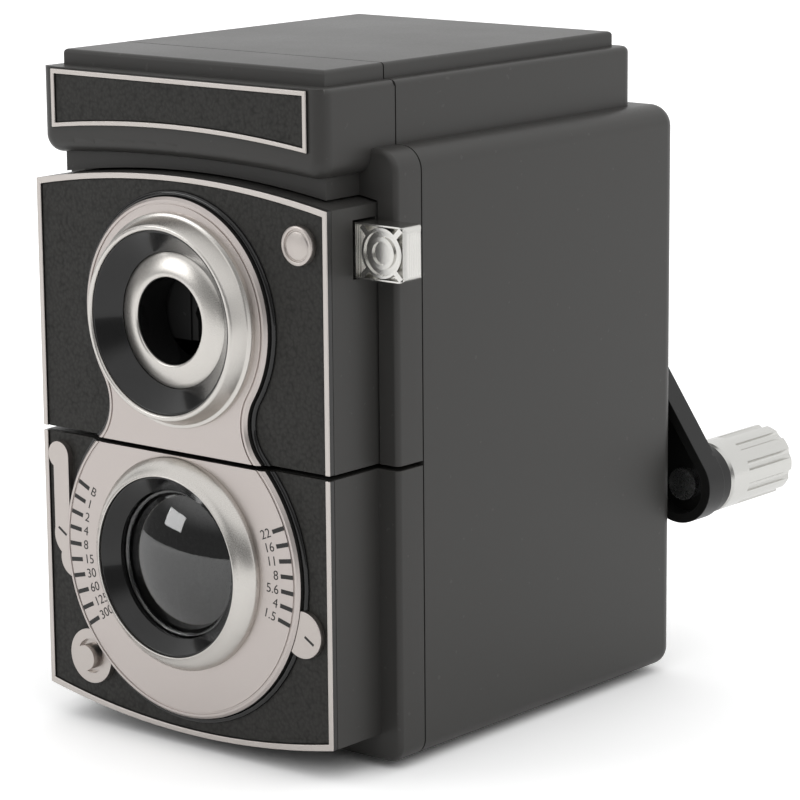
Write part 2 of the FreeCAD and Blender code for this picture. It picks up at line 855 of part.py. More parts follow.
def make_frame_screws():
    """Four pan-head screws that hold the cutter frame to the bosses of the rear housing."""
    screws = []
    for side in (1, -1):
        for level in (s.frame_screw_low, s.frame_screw_high):
            screw = new_body("frame_screw")
            length = s.frame_plate + s.frame_screw_length - s.case_wall
            turn(
                screw,
                [
                    (-s.frame_screw_head, 0),
                    (-s.frame_screw_head, s.frame_screw_head_radius / 2),
                    (-s.frame_screw_head / 2, s.frame_screw_head_radius),
                    (0, s.frame_screw_head_radius),
                    (0, s.frame_screw_radius),
                    (length, s.frame_screw_radius),
                    (length, 0),
                ],
            )
            screws.append(place(screw, side * s.frame_screw_half_spacing, frame_front, height(level)))
    group("frame_screws", screws)


def make_guide_bushes():
    """Two flanged bushes in the cutter frame that the carriage's rods slide in."""
    bushes = []
    inner = s.rod_radius + s.running_fit
    for side in (1, -1):
        bush = new_body("guide_bush")
        turn(
            bush,
            [
                (0, inner),
                (0, s.bush_radius),
                (s.frame_plate, s.bush_radius),
                (s.frame_plate, s.bush_flange_radius),
                (s.frame_plate + s.bush_flange, s.bush_flange_radius),
                (s.frame_plate + s.bush_flange, inner),
            ],
        )
        bushes.append(place(bush, side * s.rod_half_spacing, frame_front, axis_z))
    group("guide_bushes", bushes)


def make_rear_bearing():
    """The flanged bush in the rear wall that the crank shaft turns in."""
    body = new_body("rear_bearing")
    inner = s.shaft_radius + s.running_fit
    rear = depth(s.body_depth)
    turn(
        body,
        [
            (rear_wall - s.bearing_boss, inner),
            (rear_wall - s.bearing_boss, s.bearing_radius),
            (rear, s.bearing_radius),
            (rear, s.bearing_flange_radius),
            (rear + s.bearing_flange, s.bearing_flange_radius),
            (rear + s.bearing_flange, inner),
        ],
    )
    place(body, 0, 0, axis_z)
    return keep(body, "rear_bearing")


def panel_inset(inset):
    """Outline of the upper panel, drawn in from its sides and top."""
    return top_arched(
        s.panel_half_width - inset, upper_low, height(s.panel_high) - inset, s.panel_top_rise
    )


def make_carriage_block():
    """The sliding front block: an open-backed box with rod bosses, tab windows and clamp rails."""
    body = new_body("carriage_block")
    front = depth(s.border_thickness)
    wall = depth(s.border_thickness + s.block_front_wall)
    rear = depth(s.block_rear_depth)
    pad(body, "front", front, rear, panel_inset(as_size(0)))
    hollow = top_arched(
        s.panel_half_width - s.block_wall,
        upper_low + s.block_wall,
        height(s.panel_high) - s.block_wall,
        s.panel_top_rise,
    )
    cut(body, "front", wall, rear, hollow)
    slot_low = depth(s.slider_front_depth)
    slot_high = depth(s.slider_rear_depth)
    rail_low = height(s.slider_low) - s.rail_gap
    rail_high = height(s.slider_high) + s.rail_gap
    retainer_front = slot_high + s.rail_gap
    for side in (1, -1):
        boss = Circle(side * s.rod_half_spacing, axis_z, s.rod_boss_radius)
        pad(body, "front", wall, rear, boss)
        bore = Circle(side * s.rod_half_spacing, axis_z, s.rod_radius + s.press_fit)
        cut(body, "front", depth(s.rod_front_depth), rear, bore)
        ledge = box_outline(
            side * s.clamp_post_inner,
            rail_low - s.rail_thickness,
            side * s.retainer_half_width,
            rail_low,
        )
        pad(body, "front", wall, retainer_front, ledge)
        post = Circle(
            side * (s.retainer_half_width - s.retainer_post_radius),
            height(s.retainer_low) + s.retainer_post_radius,
            s.retainer_post_radius,
        )
        pad(body, "front", wall, retainer_front, post)
    lintel = box_outline(
        -s.retainer_half_width, rail_high, s.retainer_half_width, rail_high + s.rail_thickness
    )
    pad(body, "front", wall, retainer_front, lintel)
    spring_post = box_outline(s.clamp_post_inner, rail_low, s.clamp_post_outer, rail_high)
    pad(body, "front", wall, slot_high - s.slider_plate - s.rail_gap, spring_post)
    window = box_outline(
        depth(s.tab_front_depth) - s.window_fit,
        height(s.tab_low) - s.window_fit,
        depth(s.tab_back_depth) + s.window_fit,
        height(s.tab_high) + s.window_fit,
    )
    for side in (1, -1):
        outer = side * s.panel_half_width
        inner = side * (s.panel_half_width - s.block_wall)
        low, high = (inner, outer) if side > 0 else (outer, inner)
        cut(body, "side", low, high, window)
    hole = Circle(0, axis_z, s.guide_tube_radius + s.inlay_fit)
    cut(body, "front", front, wall, hole)
    return keep(body, "carriage_block")


def make_clamp_retainer():
    """The plate behind the clamp sliders, with the seat of the left spring."""
    body = new_body("clamp_retainer")
    front = depth(s.slider_rear_depth) + s.rail_gap
    low = height(s.retainer_low)
    high = height(s.slider_high) + s.rail_gap + s.rail_thickness / 2
    plate = box_outline(-s.retainer_half_width, low, s.retainer_half_width, high)
    pad(body, "front", front, front + s.retainer_thickness, plate, Circle(0, axis_z, s.retainer_hole_radius))
    seat = box_outline(
        -s.clamp_post_outer,
        height(s.slider_low),
        -s.clamp_post_inner,
        height(s.slider_high),
    )
    pad(body, "front", depth(s.slider_front_depth) + s.slider_plate + s.rail_gap, front, seat)
    return keep(body, "clamp_retainer")


def make_upper_trim():
    """The bright border along the sides and top of the upper panel, and the inlay inside it."""
    seat = depth(s.border_thickness)
    high = height(s.panel_high)
    half = s.panel_half_width
    frame = new_body("upper_trim_frame")
    outer_arch = Arc(arch_radius(half, s.panel_top_rise), 0, high + s.panel_top_rise)
    inner_half = half - s.border_width
    inner_high = high - s.border_width
    inner_arch = Arc(arch_radius(inner_half, s.panel_top_rise), 0, inner_high + s.panel_top_rise)
    border = [
        (half, upper_low),
        (half, high, outer_arch),
        (-half, high),
        (-half, upper_low),
        (-inner_half, upper_low),
        (-inner_half, inner_high, inner_arch),
        (inner_half, inner_high),
        (inner_half, upper_low),
    ]
    pad(frame, "front", panel_y, seat, border)
    keep(frame, "upper_trim_frame")
    inlay = new_body("upper_leatherette")
    hole = Circle(0, axis_z, s.guide_tube_radius + s.inlay_fit)
    pad(inlay, "front", depth(s.leather_recess), seat, panel_inset(s.border_width + s.inlay_fit), hole)
    keep(inlay, "upper_leatherette")


def plate_outline(inset):
    """The twin-lens outline, drawn in from the plate's edge: two discs joined by a waist."""
    upper = s.upper_plate_radius - inset
    lower = s.lower_plate_radius - inset
    waist = s.plate_waist_radius + inset
    apart = s.axis_height - s.lower_lens_height
    up_reach = upper + waist
    low_reach = lower + waist
    rise = (low_reach * low_reach - up_reach * up_reach + apart * apart) / (2 * apart)
    out = root(low_reach * low_reach - rise * rise)
    up_touch = (out * upper / up_reach, axis_z - (apart - rise) * upper / up_reach)
    low_touch = (out * lower / low_reach, lower_lens_z + rise * lower / low_reach)
    middle = (out - waist, lower_lens_z + rise)
    return [
        (*up_touch, Arc(upper, 0, axis_z + upper)),
        (-up_touch[0], up_touch[1], Arc(waist, -middle[0], middle[1])),
        (-low_touch[0], low_touch[1], Arc(lower, 0, lower_lens_z - lower)),
        (*low_touch, Arc(waist, *middle)),
    ]


def lens_plate(name, lens_z, low, high):
    """The face plate with a fine groove inside its edge, cut to one side of the seam."""
    front = panel_y - s.plate_proud
    back = depth(s.leather_recess)
    body = new_body(name)
    pad(body, "front", front, back, plate_outline(as_size(0)))
    bevel_edges(body, s.plate_bevel, lambda box: box.YMax < front.value + NEAR)
    groove = s.plate_groove_inset
    rims = (plate_outline(groove), plate_outline(groove + s.plate_groove_width))
    cut(body, "front", front, front + s.plate_groove_depth, *rims)
    across_plate = 2 * s.lower_plate_radius
    cut(body, "front", front, back, box_outline(-across_plate, low, across_plate, high))
    cut(body, "front", front, back, Circle(0, lens_z, s.lens_bore_radius))
    return keep(body, name)


def lens_ring(name, lens_z, outer, rim, proud):
    """A turned bright ring that slopes from the face plate up to a narrow rim."""
    seat = panel_y - s.plate_proud
    crest = panel_y - proud
    shoulder = seat - s.ring_step
    slope_end = crest + s.rim_slope
    body = new_body(name)
    bow = Arc(s.ring_bow, (shoulder + slope_end) / 2 - s.rim_slope / 2, (outer + rim) / 2 + s.rim_slope / 2)
    turn(
        body,
        [
            (seat, s.lens_bore_radius),
            (seat, outer),
            (shoulder, outer, bow),
            (slope_end, rim),
            (crest, rim - s.rim_slope),
            (crest, s.lens_bore_radius),
        ],
    )
    place(body, 0, 0, lens_z)
    return keep(body, name)


def lens_cone(name, lens_z, inner, inner_proud, proud):
    """The gloss black funnel between the rim and the glass or the pencil guide."""
    outer = s.lens_bore_radius - s.lens_fit
    front = panel_y - proud + s.cone_recess
    back = depth(s.leather_recess)
    body = new_body(name)
    turn(
        body,
        [
            (front, outer - s.cone_lip),
            (front, outer),
            (back, outer),
            (back, inner),
            (panel_y - inner_proud, inner),
        ],
    )
    place(body, 0, 0, lens_z)
    return keep(body, name)


def make_upper_lens():
    """Face plate, ring and funnel of the upper mount, where the pencil goes in."""
    below = lower_lens_z - 2 * s.lower_plate_radius
    lens_plate("upper_lens_plate", axis_z, below, upper_low)
    lens_ring("upper_lens_ring", axis_z, s.upper_ring_radius, s.upper_rim_radius, s.upper_ring_proud)
    lens_cone("upper_lens_cone", axis_z, s.upper_cone_radius, s.guide_edge_proud, s.upper_ring_proud)


def make_pencil_guide():
    """The crowned bright ring round the pencil hole, with its tube through the block's front."""
    body = new_body("pencil_guide_ring")
    seat = depth(s.leather_recess)
    flange = s.upper_cone_radius - s.lens_fit
    edge = panel_y - s.guide_edge_proud
    lip = panel_y - s.guide_lip_proud
    tube_end = depth(s.guide_tube_depth)
    crown = Arc(
        s.guide_crown_radius,
        (edge + lip) / 2 - s.guide_crown_radius / 4,
        (flange + s.guide_hole_radius) / 2,
    )
    turn(
        body,
        [
            (seat, s.guide_tube_radius),
            (seat, flange),
            (edge, flange, crown),
            (lip, s.guide_hole_radius),
            (tube_end, s.guide_hole_radius),
            (tube_end, s.guide_tube_radius),
        ],
    )
    place(body, 0, 0, axis_z)
    return keep(body, "pencil_guide_ring")


def button(name, radius, proud, x, z):
    """A round bright stud on the inlay, with a bevelled rim."""
    body = new_body(name)
    seat = depth(s.leather_recess)
    front = panel_y - proud
    turn(
        body,
        [
            (seat, 0),
            (seat, radius),
            (front + s.plate_bevel, radius),
            (front, radius - s.plate_bevel),
            (front, 0),
        ],
    )
    place(body, x, 0, z)
    return keep(body, name)


def make_guide_rods():
    """Two steel rods fixed in the carriage block, with a collar near each rear end."""
    rods = []
    collars = []
    length = s.rod_rear_depth - s.rod_front_depth
    for side in (1, -1):
        x = side * s.rod_half_spacing
        rods.append(cylinder("guide_rod", s.rod_radius, length, x, depth(s.rod_front_depth), axis_z))
        collar = new_body("rod_collar")
        inner = s.rod_radius + s.press_fit
        turn(
            collar,
            [
                (0, inner),
                (0, s.collar_radius),
                (s.collar_thickness, s.collar_radius),
                (s.collar_thickness, inner),
            ],
        )
        collars.append(place(collar, x, depth(s.collar_depth), axis_z))
    group("guide_rods", rods)
    group("rod_collars", collars)


def coil_spring(name, radius, wire, turns, length, start, axis, angle):
    """A round-wire coil spring that runs from a start point along a turned axis."""
    helix = doc.addObject("Part::Helix", f"{name}_coil")
    helix.setExpression("Radius", radius.text)
    helix.setExpression("Height", (length - 2 * wire).text)
    helix.setExpression("Pitch", ((length - 2 * wire) / turns).text)
    section = doc.addObject("Part::RegularPolygon", f"{name}_wire")
    section.Polygon = WIRE_SIDES
    section.setExpression("Circumradius", wire.text)
    place(section, radius, 0, 0, V(1, 0, 0), 90.0)
    spring = doc.addObject("Part::Sweep", name)
    spring.Sections = [section]
    spring.Spine = (helix, ["Edge1"])
    spring.Solid = True
    spring.Frenet = True
    place(spring, *start, axis, angle)
    return keep(spring, name)


def make_feed_springs():
    """Two springs on the rods that draw the carriage home when it has been pulled out."""
    front = frame_rear + s.bush_flange
    length = depth(s.collar_depth) - front - 2 * s.spring_seat
    for name, side in (("right_feed_spring", 1), ("left_feed_spring", -1)):
        start = (side * s.rod_half_spacing, front + s.spring_seat + s.feed_spring_wire, axis_z)
        coil_spring(
            name,
            s.feed_spring_radius,
            s.feed_spring_wire,
            s.feed_spring_turns,
            length,
            start,
            V(1, 0, 0),
            -90.0,
        )


def shape_tab_face(tab, x, z, front):
    """The face of the tall tab: a sunk square round a stepped boss, with a rib in each corner."""
    boss = s.tab_boss_radius
    half = boss + s.tab_boss_margin
    floor = front + s.tab_sink
    square = box_outline(x - half - s.tab_sink_run, z - half, x + half, z + half)
    cut(tab, "front", front, floor, square, Circle(x, z, boss))
    aside = DIAGONAL * s.tab_rib_width / 2
    near = DIAGONAL * boss - aside
    far = half + s.tab_boss_margin - aside
    for right in (1, -1):
        for up in (1, -1):
            rib = [
                (x + right * near - up * aside, z + up * near + right * aside),
                (x + right * far - up * aside, z + up * far + right * aside),
                (x + right * far + up * aside, z + up * far - right * aside),
                (x + right * near + up * aside, z + up * near - right * aside),
            ]
            pad(tab, "front", front, floor, rib)
    ring = Circle(x, z, s.tab_ring_radius)
    cut(tab, "front", front, front + s.tab_ring_groove, Circle(x, z, boss - s.tab_lip_width), ring)
    cut(tab, "front", front, front + s.tab_ring_groove, Circle(x, z, s.tab_ring_radius - s.tab_ring_width))


def make_clamp(hand, side):
    """One clamp slider: a bright side tab, the arm that crosses over the pencil, its jaw and pad."""
    front = depth(s.slider_front_depth)
    rear = depth(s.slider_rear_depth)
    layer = (rear - s.slider_plate, rear) if side > 0 else (front, front + s.slider_plate)
    low = height(s.slider_low)
    high = height(s.slider_high)
    tab_front = depth(s.tab_front_depth)
    tab_back = depth(s.tab_back_depth)
    tab = new_body(f"{hand}_clamp_tab")
    reach = side * (s.panel_half_width + (s.tab_proud if side > 0 else s.left_tab_proud))
    face = box_outline(side * s.tab_inner, height(s.tab_low), reach, height(s.tab_high))
    pad(tab, "front", tab_front, tab_back, face)
    round_edges(tab, s.tab_edge, lambda box: abs(box.Center.x - reach.value) < NEAR)
    middle_z = height((s.tab_low + s.tab_high) / 2)
    if side > 0:
        shape_tab_face(tab, reach - s.tab_boss_inset, middle_z, tab_front)
    keep(tab, f"{hand}_clamp_tab")
    jaw = new_body(f"{hand}_clamp_jaw")
    far = -side * s.jaw_reach
    near = -side * (s.jaw_pad_gap + s.jaw_pad_thickness)
    inner = side * s.tab_inner
    end_plate = box_outline(side * (s.tab_inner - s.slider_plate), low, inner, high)
    end_front, end_rear = (tab_front, rear) if side > 0 else (front, tab_back)
    pad(jaw, "front", *layer, box_outline(far, low, inner, high))
    pad(jaw, "front", end_front, end_rear, end_plate)
    jaw_high = low - s.rail_gap
    pad(jaw, "front", front, rear, box_outline(far, height(s.jaw_low), near, jaw_high))
    pad(jaw, "front", *layer, box_outline(far, jaw_high - s.slider_plate, near, high))
    keep(jaw, f"{hand}_clamp_jaw")
    face_x = -side * s.jaw_pad_gap
    half = s.axis_height - s.jaw_low
    notch = s.jaw_pad_notch
    outline = [
        (near, axis_z - half),
        (face_x, axis_z - half),
        (face_x, axis_z - 2 * notch),
        (face_x - side * notch, axis_z),
        (face_x, axis_z + 2 * notch),
        (face_x, axis_z + half),
        (near, axis_z + half),
    ]
    grip = new_body(f"{hand}_jaw_pad")
    pad(grip, "front", front + s.rail_gap, rear - s.rail_gap, outline)
    keep(grip, f"{hand}_jaw_pad")
    seat = s.tab_inner - s.slider_plate - s.spring_seat
    length = seat - s.clamp_post_outer - s.spring_seat
    start_x = side * (s.clamp_post_outer + s.spring_seat + s.clamp_spring_wire)
    start = (start_x, (tab_front + tab_back) / 2, middle_z)
    coil_spring(
        f"{hand}_clamp_spring",
        s.clamp_spring_radius,
        s.clamp_spring_wire,
        s.clamp_spring_turns,
        length,
        start,
        V(0, 1, 0),
        side * 90.0,
    )


def make_drawer_front():
    """The lower front moulding: an arched block with a band behind it, hollow from the back."""
    body = new_body("drawer_front")
    front = depth(s.border_thickness)
    band_front = depth(s.band_depth)
    back = parting_front
    block = bottom_arched(s.panel_half_width, height(s.panel_low), lower_high, s.panel_bottom_rise)
    pad(body, "front", front, back, block)
    band = rounded_outline(s.body_half_width, height(0), lower_high, s.case_bottom_corner, None)
    pad(body, "front", band_front, back, band)
    edge_top = lower_high.value - NEAR
    round_edges(
        body,
        s.band_edge,
        lambda box: abs(box.YMin - band_front.value) < NEAR
        and box.YLength < NEAR
        and box.ZMin < edge_top
        and max(abs(box.XMin), abs(box.XMax)) > s.panel_half_width.value + NEAR,
    )
    hollow = box_outline(
        -(s.panel_half_width - s.block_wall),
        height(s.panel_low) + s.block_wall,
        s.panel_half_width - s.block_wall,
        lower_high - s.block_wall,
    )
    cut(body, "front", front + s.block_front_wall, back, hollow)
    return keep(body, "drawer_front")


def make_drawer_tray():
    """The chip tray fixed behind the drawer front, open at the top."""
    body = new_body("drawer_tray")
    low = height(s.case_wall) + s.tray_fit
    high = height(s.tray_height)
    half = s.tray_half_width
    front = parting_front
    rear = depth(s.tray_rear_depth)
    pad(body, "front", front, rear, box_outline(-half, low, half, high))
    wall = s.tray_wall
    inside = box_outline(wall - half, front + wall, half - wall, rear - wall)
    cut(body, "top", low + wall, high, inside)
    return keep(body, "drawer_tray")


def lower_panel(inset):
    return bottom_arched(
        s.panel_half_width - inset, height(s.panel_low) + inset, lower_high, s.panel_bottom_rise
    )


def make_lower_trim():
    """The bright border along the sides and bottom of the lower panel, and the inlay inside it."""
    seat = depth(s.border_thickness)
    half = s.panel_half_width
    low = height(s.panel_low)
    inner_half = half - s.border_width
    inner_low = low + s.border_width
    rise = s.panel_bottom_rise
    border = [
        (half, lower_high),
        (inner_half, lower_high),
        (inner_half, inner_low, Arc(arch_radius(inner_half, rise), 0, inner_low - rise)),
        (-inner_half, inner_low),
        (-inner_half, lower_high),
        (-half, lower_high),
        (-half, low, Arc(arch_radius(half, rise), 0, low - rise)),
        (half, low),
    ]
    frame = new_body("lower_trim_frame")
    pad(frame, "front", panel_y, seat, border)
    keep(frame, "lower_trim_frame")
    inlay = new_body("lower_leatherette")
    pad(inlay, "front", depth(s.leather_recess), seat, lower_panel(s.border_width + s.inlay_fit))
    keep(inlay, "lower_leatherette")


def make_lower_lens():
    """Face plate, ring, funnel and domed glass of the lower mount."""
    above = axis_z + 2 * s.upper_plate_radius
    lens_plate("lower_lens_plate", lower_lens_z, lower_high, above)
    lens_ring("lower_lens_ring", lower_lens_z, s.lower_ring_radius, s.lower_rim_radius, s.lower_ring_proud)
    lens_cone("lower_lens_cone", lower_lens_z, s.lower_cone_radius, s.lens_edge_proud, s.lower_ring_proud)
    glass = new_body("lower_lens_glass")
    radius = s.lower_cone_radius - s.lens_fit
    edge = panel_y - s.lens_edge_proud
    crest = panel_y - s.lens_crest_proud
    seat = depth(s.leather_recess)
    dome_radius = arch_radius(radius, edge - crest)
    dome = Arc(dome_radius, crest + (edge - crest) / 4, radius / 2)
    turn(glass, [(seat, 0), (seat, radius), (edge, radius, dome), (crest, 0)])
    place(glass, 0, 0, lower_lens_z)
    keep(glass, "lower_lens_glass")


def trim_tab(name, *circles):
    """Flat bright trim beside the lower face plate, cut to the plate's edge."""
    body = new_body(name)
    front = panel_y - s.lever_proud
    back = depth(s.leather_recess)
    for circle in circles:
        pad(body, "front", front, back, circle)
    return body


def make_lower_trim_tabs():
    """The lever and pointers beside the lower face plate and the stepped boss under it."""
    plate_edge = Circle(0, lower_lens_z, s.lower_plate_radius + s.inlay_fit)
    front = panel_y - s.lever_proud
    back = depth(s.leather_recess)
    knob_z = height(s.lever_knob_height)
    pointer_z = height(s.left_pointer_height)
    tail_radius = s.pointer_radius - s.lever_proud
    lever = trim_tab(
        "speed_lever",
        Circle(-s.lever_knob_half_width, knob_z, s.lever_knob_radius),
        box_outline(
            -s.lever_knob_half_width - s.lever_width / 3,
            pointer_z,
            -s.lever_knob_half_width + 2 * s.lever_width / 3,
            knob_z,
        ),
        Circle(-s.left_pointer_half_width, pointer_z, s.pointer_radius),
        Circle(-s.left_pointer_half_width + s.lever_proud, pointer_z - s.pointer_radius, tail_radius),
    )
    cut(lever, "front", front, back, plate_edge)
    keep(lever, "speed_lever")
    pointer_place = (s.right_pointer_half_width, height(s.right_pointer_height))
    pointer = trim_tab("aperture_pointer", Circle(*pointer_place, s.pointer_radius))
    cut(pointer, "front", front, back, plate_edge)
    keep(pointer, "aperture_pointer")
    boss_place = (-s.boss_half_width, height(s.boss_height))
    boss = trim_tab("flash_boss", Circle(*boss_place, s.boss_radius))
    cut(boss, "front", front, panel_y, Circle(*boss_place, s.boss_cup_radius))
    pad(boss, "front", panel_y - s.boss_stud_proud, panel_y, Circle(*boss_place, s.boss_stud_radius))
    cut(boss, "front", front, back, plate_edge)
    keep(boss, "flash_boss")


def polar(radius, angle):
    """A point at a radius and an angle from the upward direction, in a gear's own plane."""
    turned = math.radians(angle)
    return radius * math.sin(turned), radius * math.cos(turned)


def tooth_points(teeth, radii, half_angles, first):
    """Corners of a toothed outline: each tooth is two corners at each of two radii."""
    points = []
    for tooth in range(teeth):
        middle = first + 360 * tooth / teeth
        (low, high), (low_half, high_half) = radii, half_angles
        points.append(polar(low, middle - low_half))
        points.append(polar(high, middle - high_half))
        points.append(polar(high, middle + high_half))
        points.append(polar(low, middle + low_half))
    return points


def frustum(points, reference, near, far):
    """The solid swept by an outline that grows in step with its distance from the apex."""
    wires = []
    for distance in (near, far):
        scale = distance / reference
        corners = [V(x * scale, y * scale, distance) for x, y in points]
        wires.append(Part.makePolygon(corners + corners[:1]))
    return Part.makeLoft(wires, True, True)


def gear_cones():
    """Half angles of the pinion's and the ring's pitch cones, in radians."""
    tilt = math.radians(s.cutter_tilt.value)
    ratio = s.ring_teeth.value / s.pinion_teeth.value
    pinion = math.atan2(math.sin(tilt), ratio - math.cos(tilt))
    return pinion, pinion + tilt


def shaped(name, shape, angle):
    """A sub-part whose shape is worked out in code, about the apex on the crank axis."""
    feature = doc.addObject("Part::Feature", name)
    feature.Shape = shape
    place(feature, 0, depth(s.apex_depth), axis_z, V(1, 0, 0), angle)
    return keep(feature, name)


def tooth_halves(teeth):
    """Half angles of a tooth at its root and at its tip, in degrees."""
    pitch = 180 / teeth * s.tooth_share.value
    taper = s.tooth_taper.value
    root_half = pitch * (1 + taper * s.tooth_dedendum.value / s.tooth_addendum.value)
    return root_half, pitch * (1 - taper)


def make_cutter_pinion():
    """The bevel pinion on the cutter's far end, with teeth that narrow towards the apex."""
    teeth = int(s.pinion_teeth.value)
    far = s.pinion_far.value
    near = s.cutter_far.value
    pitch = far * math.tan(gear_cones()[0])
    radii = (pitch - s.tooth_dedendum.value, pitch + s.tooth_addendum.value)
    gear = frustum(tooth_points(teeth, radii, tooth_halves(teeth), 0), far, near, far)
    bore = Part.makeCylinder(s.pin_radius.value + s.running_fit.value, far - near, V(0, 0, near))
    shaped("cutter_pinion", gear.cut(bore), 90 - s.cutter_tilt)


def make_ring_gear():
    """The fixed internal bevel gear behind the cutter frame's plate."""
    teeth = int(s.ring_teeth.value)
    pinion_cone, ring_cone = gear_cones()
    reference = s.pinion_far.value / math.cos(pinion_cone) * math.cos(ring_cone)
    pitch = reference * math.tan(ring_cone)
    radii = (pitch + s.tooth_dedendum.value, pitch - s.tooth_addendum.value)
    points = tooth_points(teeth, radii, tooth_halves(teeth), 180 / teeth)
    rear = (s.apex_depth - s.ring_rear_depth).value
    entry = (s.apex_depth - s.ring_tooth_depth).value
    front = (s.apex_depth - s.frame_plate_depth - s.frame_plate).value
    overlap = s.ring_entry_radius.value - radii[0]
    blank = Part.makeCylinder(s.ring_radius.value, front - rear, V(0, 0, rear))
    mouth = Part.makeCylinder(s.ring_entry_radius.value, front - entry, V(0, 0, entry))
    toothed = frustum(points, reference, rear - overlap, entry + overlap)
    shaped("ring_gear", blank.cut(toothed).cut(mouth), as_size(90))


def make_helical_cutter():
    """The milling cutter: saw-shaped blades that wind round a bored core."""
    blades = int(s.cutter_blades.value)
    near = s.cutter_near.value
    far = s.cutter_far.value
    step = 360 / blades
    wires = []
    for k in range(CUTTER_SECTIONS):
        share = k / (CUTTER_SECTIONS - 1)
        level = near + share * (far - near)
        ring = []
        for blade in range(blades):
            lead = blade * step + share * s.cutter_twist.value
            ring.append(V(*polar(s.cutter_root_radius.value, lead), level))
            ring.append(V(*polar(s.cutter_radius.value, lead + step * s.cutter_rake_share.value), level))
        wires.append(Part.makePolygon(ring + ring[:1]))
    cutter = Part.makeLoft(wires, True, False)
    bore = Part.makeCylinder(s.pin_radius.value + s.running_fit.value, far - near, V(0, 0, near))
    shaped("helical_cutter", cutter.cut(bore), 90 - s.cutter_tilt)


def on_cutter_axis(distance):
    """A point of the tilted cutter axis at a distance from the apex."""
    y = depth(s.apex_depth) - distance * cosine(s.cutter_tilt)
    return 0, y, axis_z + distance * sine(s.cutter_tilt)


def make_cutter_carrier():
    """The rotor: a flange that runs in the frame, a half-open cage and a web with the shaft's hub."""
    body = new_body("carrier_body")
    flange_front = depth(s.carrier_flange_depth)
    flange_rear = flange_front + s.carrier_flange
    mouth_depth = s.pencil_mouth_radius - s.pencil_hole_radius
    turn(
        body,
        [
            (flange_front, s.pencil_mouth_radius),
            (flange_front, s.carrier_flange_radius),
            (flange_rear, s.carrier_flange_radius),
            (flange_rear, s.pencil_hole_radius),
            (flange_front + mouth_depth, s.pencil_hole_radius),
        ],
    )
    web_front = depth(s.carrier_web_depth)
    web_rear = web_front + s.carrier_web
    cage_inner = s.carrier_radius - s.carrier_wall
    cage_end = web_front + s.carrier_web / 2
    cage = box_outline(flange_front + mouth_depth, -s.carrier_radius, cage_end, -cage_inner)
    turn(body, cage, s.carrier_span)
    hub_rear = depth(s.carrier_hub_depth)
    socket = s.shaft_radius + s.press_fit
    turn(
        body,
        [
            (web_front, 0),
            (web_front, s.carrier_radius),
            (web_rear, s.carrier_radius),
            (web_rear, s.carrier_hub_radius),
            (hub_rear, s.carrier_hub_radius),
            (hub_rear, socket),
            (web_rear, socket),
            (web_rear, 0),
        ],
    )
    place(body, 0, 0, axis_z)
    length = s.pin_far - s.pin_near
    bore = cylinder(
        "pin_bore",
        s.pin_radius + s.press_fit,
        length + 2 * s.press_fit,
        *on_cutter_axis(s.pin_near - s.press_fit),
        V(1, 0, 0),
        90 - s.cutter_tilt,
    )
    keep(subtract("cutter_carrier", body, bore), "cutter_carrier")
    pin = cylinder(
        "cutter_pin", s.pin_radius, length, *on_cutter_axis(s.pin_near), V(1, 0, 0), 90 - s.cutter_tilt
    )
    keep(pin, "cutter_pin")


def make_crank_shaft():
    """The steel shaft from the carrier's hub through the rear bearing to the crank arm."""
    start = s.carrier_web_depth + s.carrier_web + s.press_fit
    length = s.shaft_rear_depth - start
    shaft = cylinder("crank_shaft", s.shaft_radius, length, 0, depth(start), axis_z)
    return keep(shaft, "crank_shaft")


def teardrop(hub, end, reach):
    """Outline of the arm: a large round at the shaft, a small one at the knob, tangent sides."""
    lean = (hub - end) / reach
    upright = root(1 - lean * lean)
    return [
        (hub * upright, -hub * lean, Arc(hub, 0, hub)),
        (-hub * upright, -hub * lean),
        (-end * upright, -reach - end * lean, Arc(end, 0, -reach - end)),
        (end * upright, -reach - end * lean),
    ]


def make_crank_arm():
    """The moulded crank arm: a rimmed teardrop, hollow towards the case, with two bosses."""
    body = new_body("crank_arm")
    front = depth(s.arm_front_depth)
    rear = front + s.arm_thickness
    reach = s.crank_radius
    pad(body, "front", front, rear, teardrop(s.arm_hub_radius, s.arm_end_radius, reach))
    inner = teardrop(s.arm_hub_radius - s.arm_rim, s.arm_end_radius - s.arm_rim, reach)
    cut(body, "front", front, rear - s.arm_floor, inner)
    collar_front = depth(s.arm_collar_depth)
    pad(body, "front", collar_front, rear, Circle(0, 0, s.arm_collar_radius))
    pad(body, "front", rear, depth(s.knob_boss_depth), Circle(0, -reach, s.knob_boss_radius))
    cut(body, "front", collar_front, rear, Circle(0, 0, s.shaft_radius + s.press_fit))
    bore = Circle(0, -reach, s.knob_pin_radius + s.press_fit)
    cut(body, "front", front, depth(s.knob_boss_depth), bore)
    place(body, 0, 0, axis_z, V(0, 1, 0), -s.crank_angle)
    return keep(body, "crank_arm")


def make_hub_cap():
    """The domed cap that closes the crank arm's hub."""
    body = new_body("hub_cap")
    seat = depth(s.arm_front_depth) + s.arm_thickness
    crest = seat + s.hub_cap_proud
    radius = s.hub_cap_radius
    shoulder = seat + s.hub_cap_proud / 3
    dome_radius = arch_radius(radius, crest - shoulder)
    dome = Arc(dome_radius, shoulder + (crest - shoulder) * 3 / 4, radius / 2)
    turn(body, [(seat, 0), (seat, radius), (shoulder, radius, dome), (crest, 0)])
    place(body, 0, 0, axis_z)
    return keep(body, "hub_cap")


def knob_place():
    """The knob's axis, at the end of the crank arm."""
    return s.crank_radius * sine(s.crank_angle), axis_z - s.crank_radius * cosine(s.crank_angle)


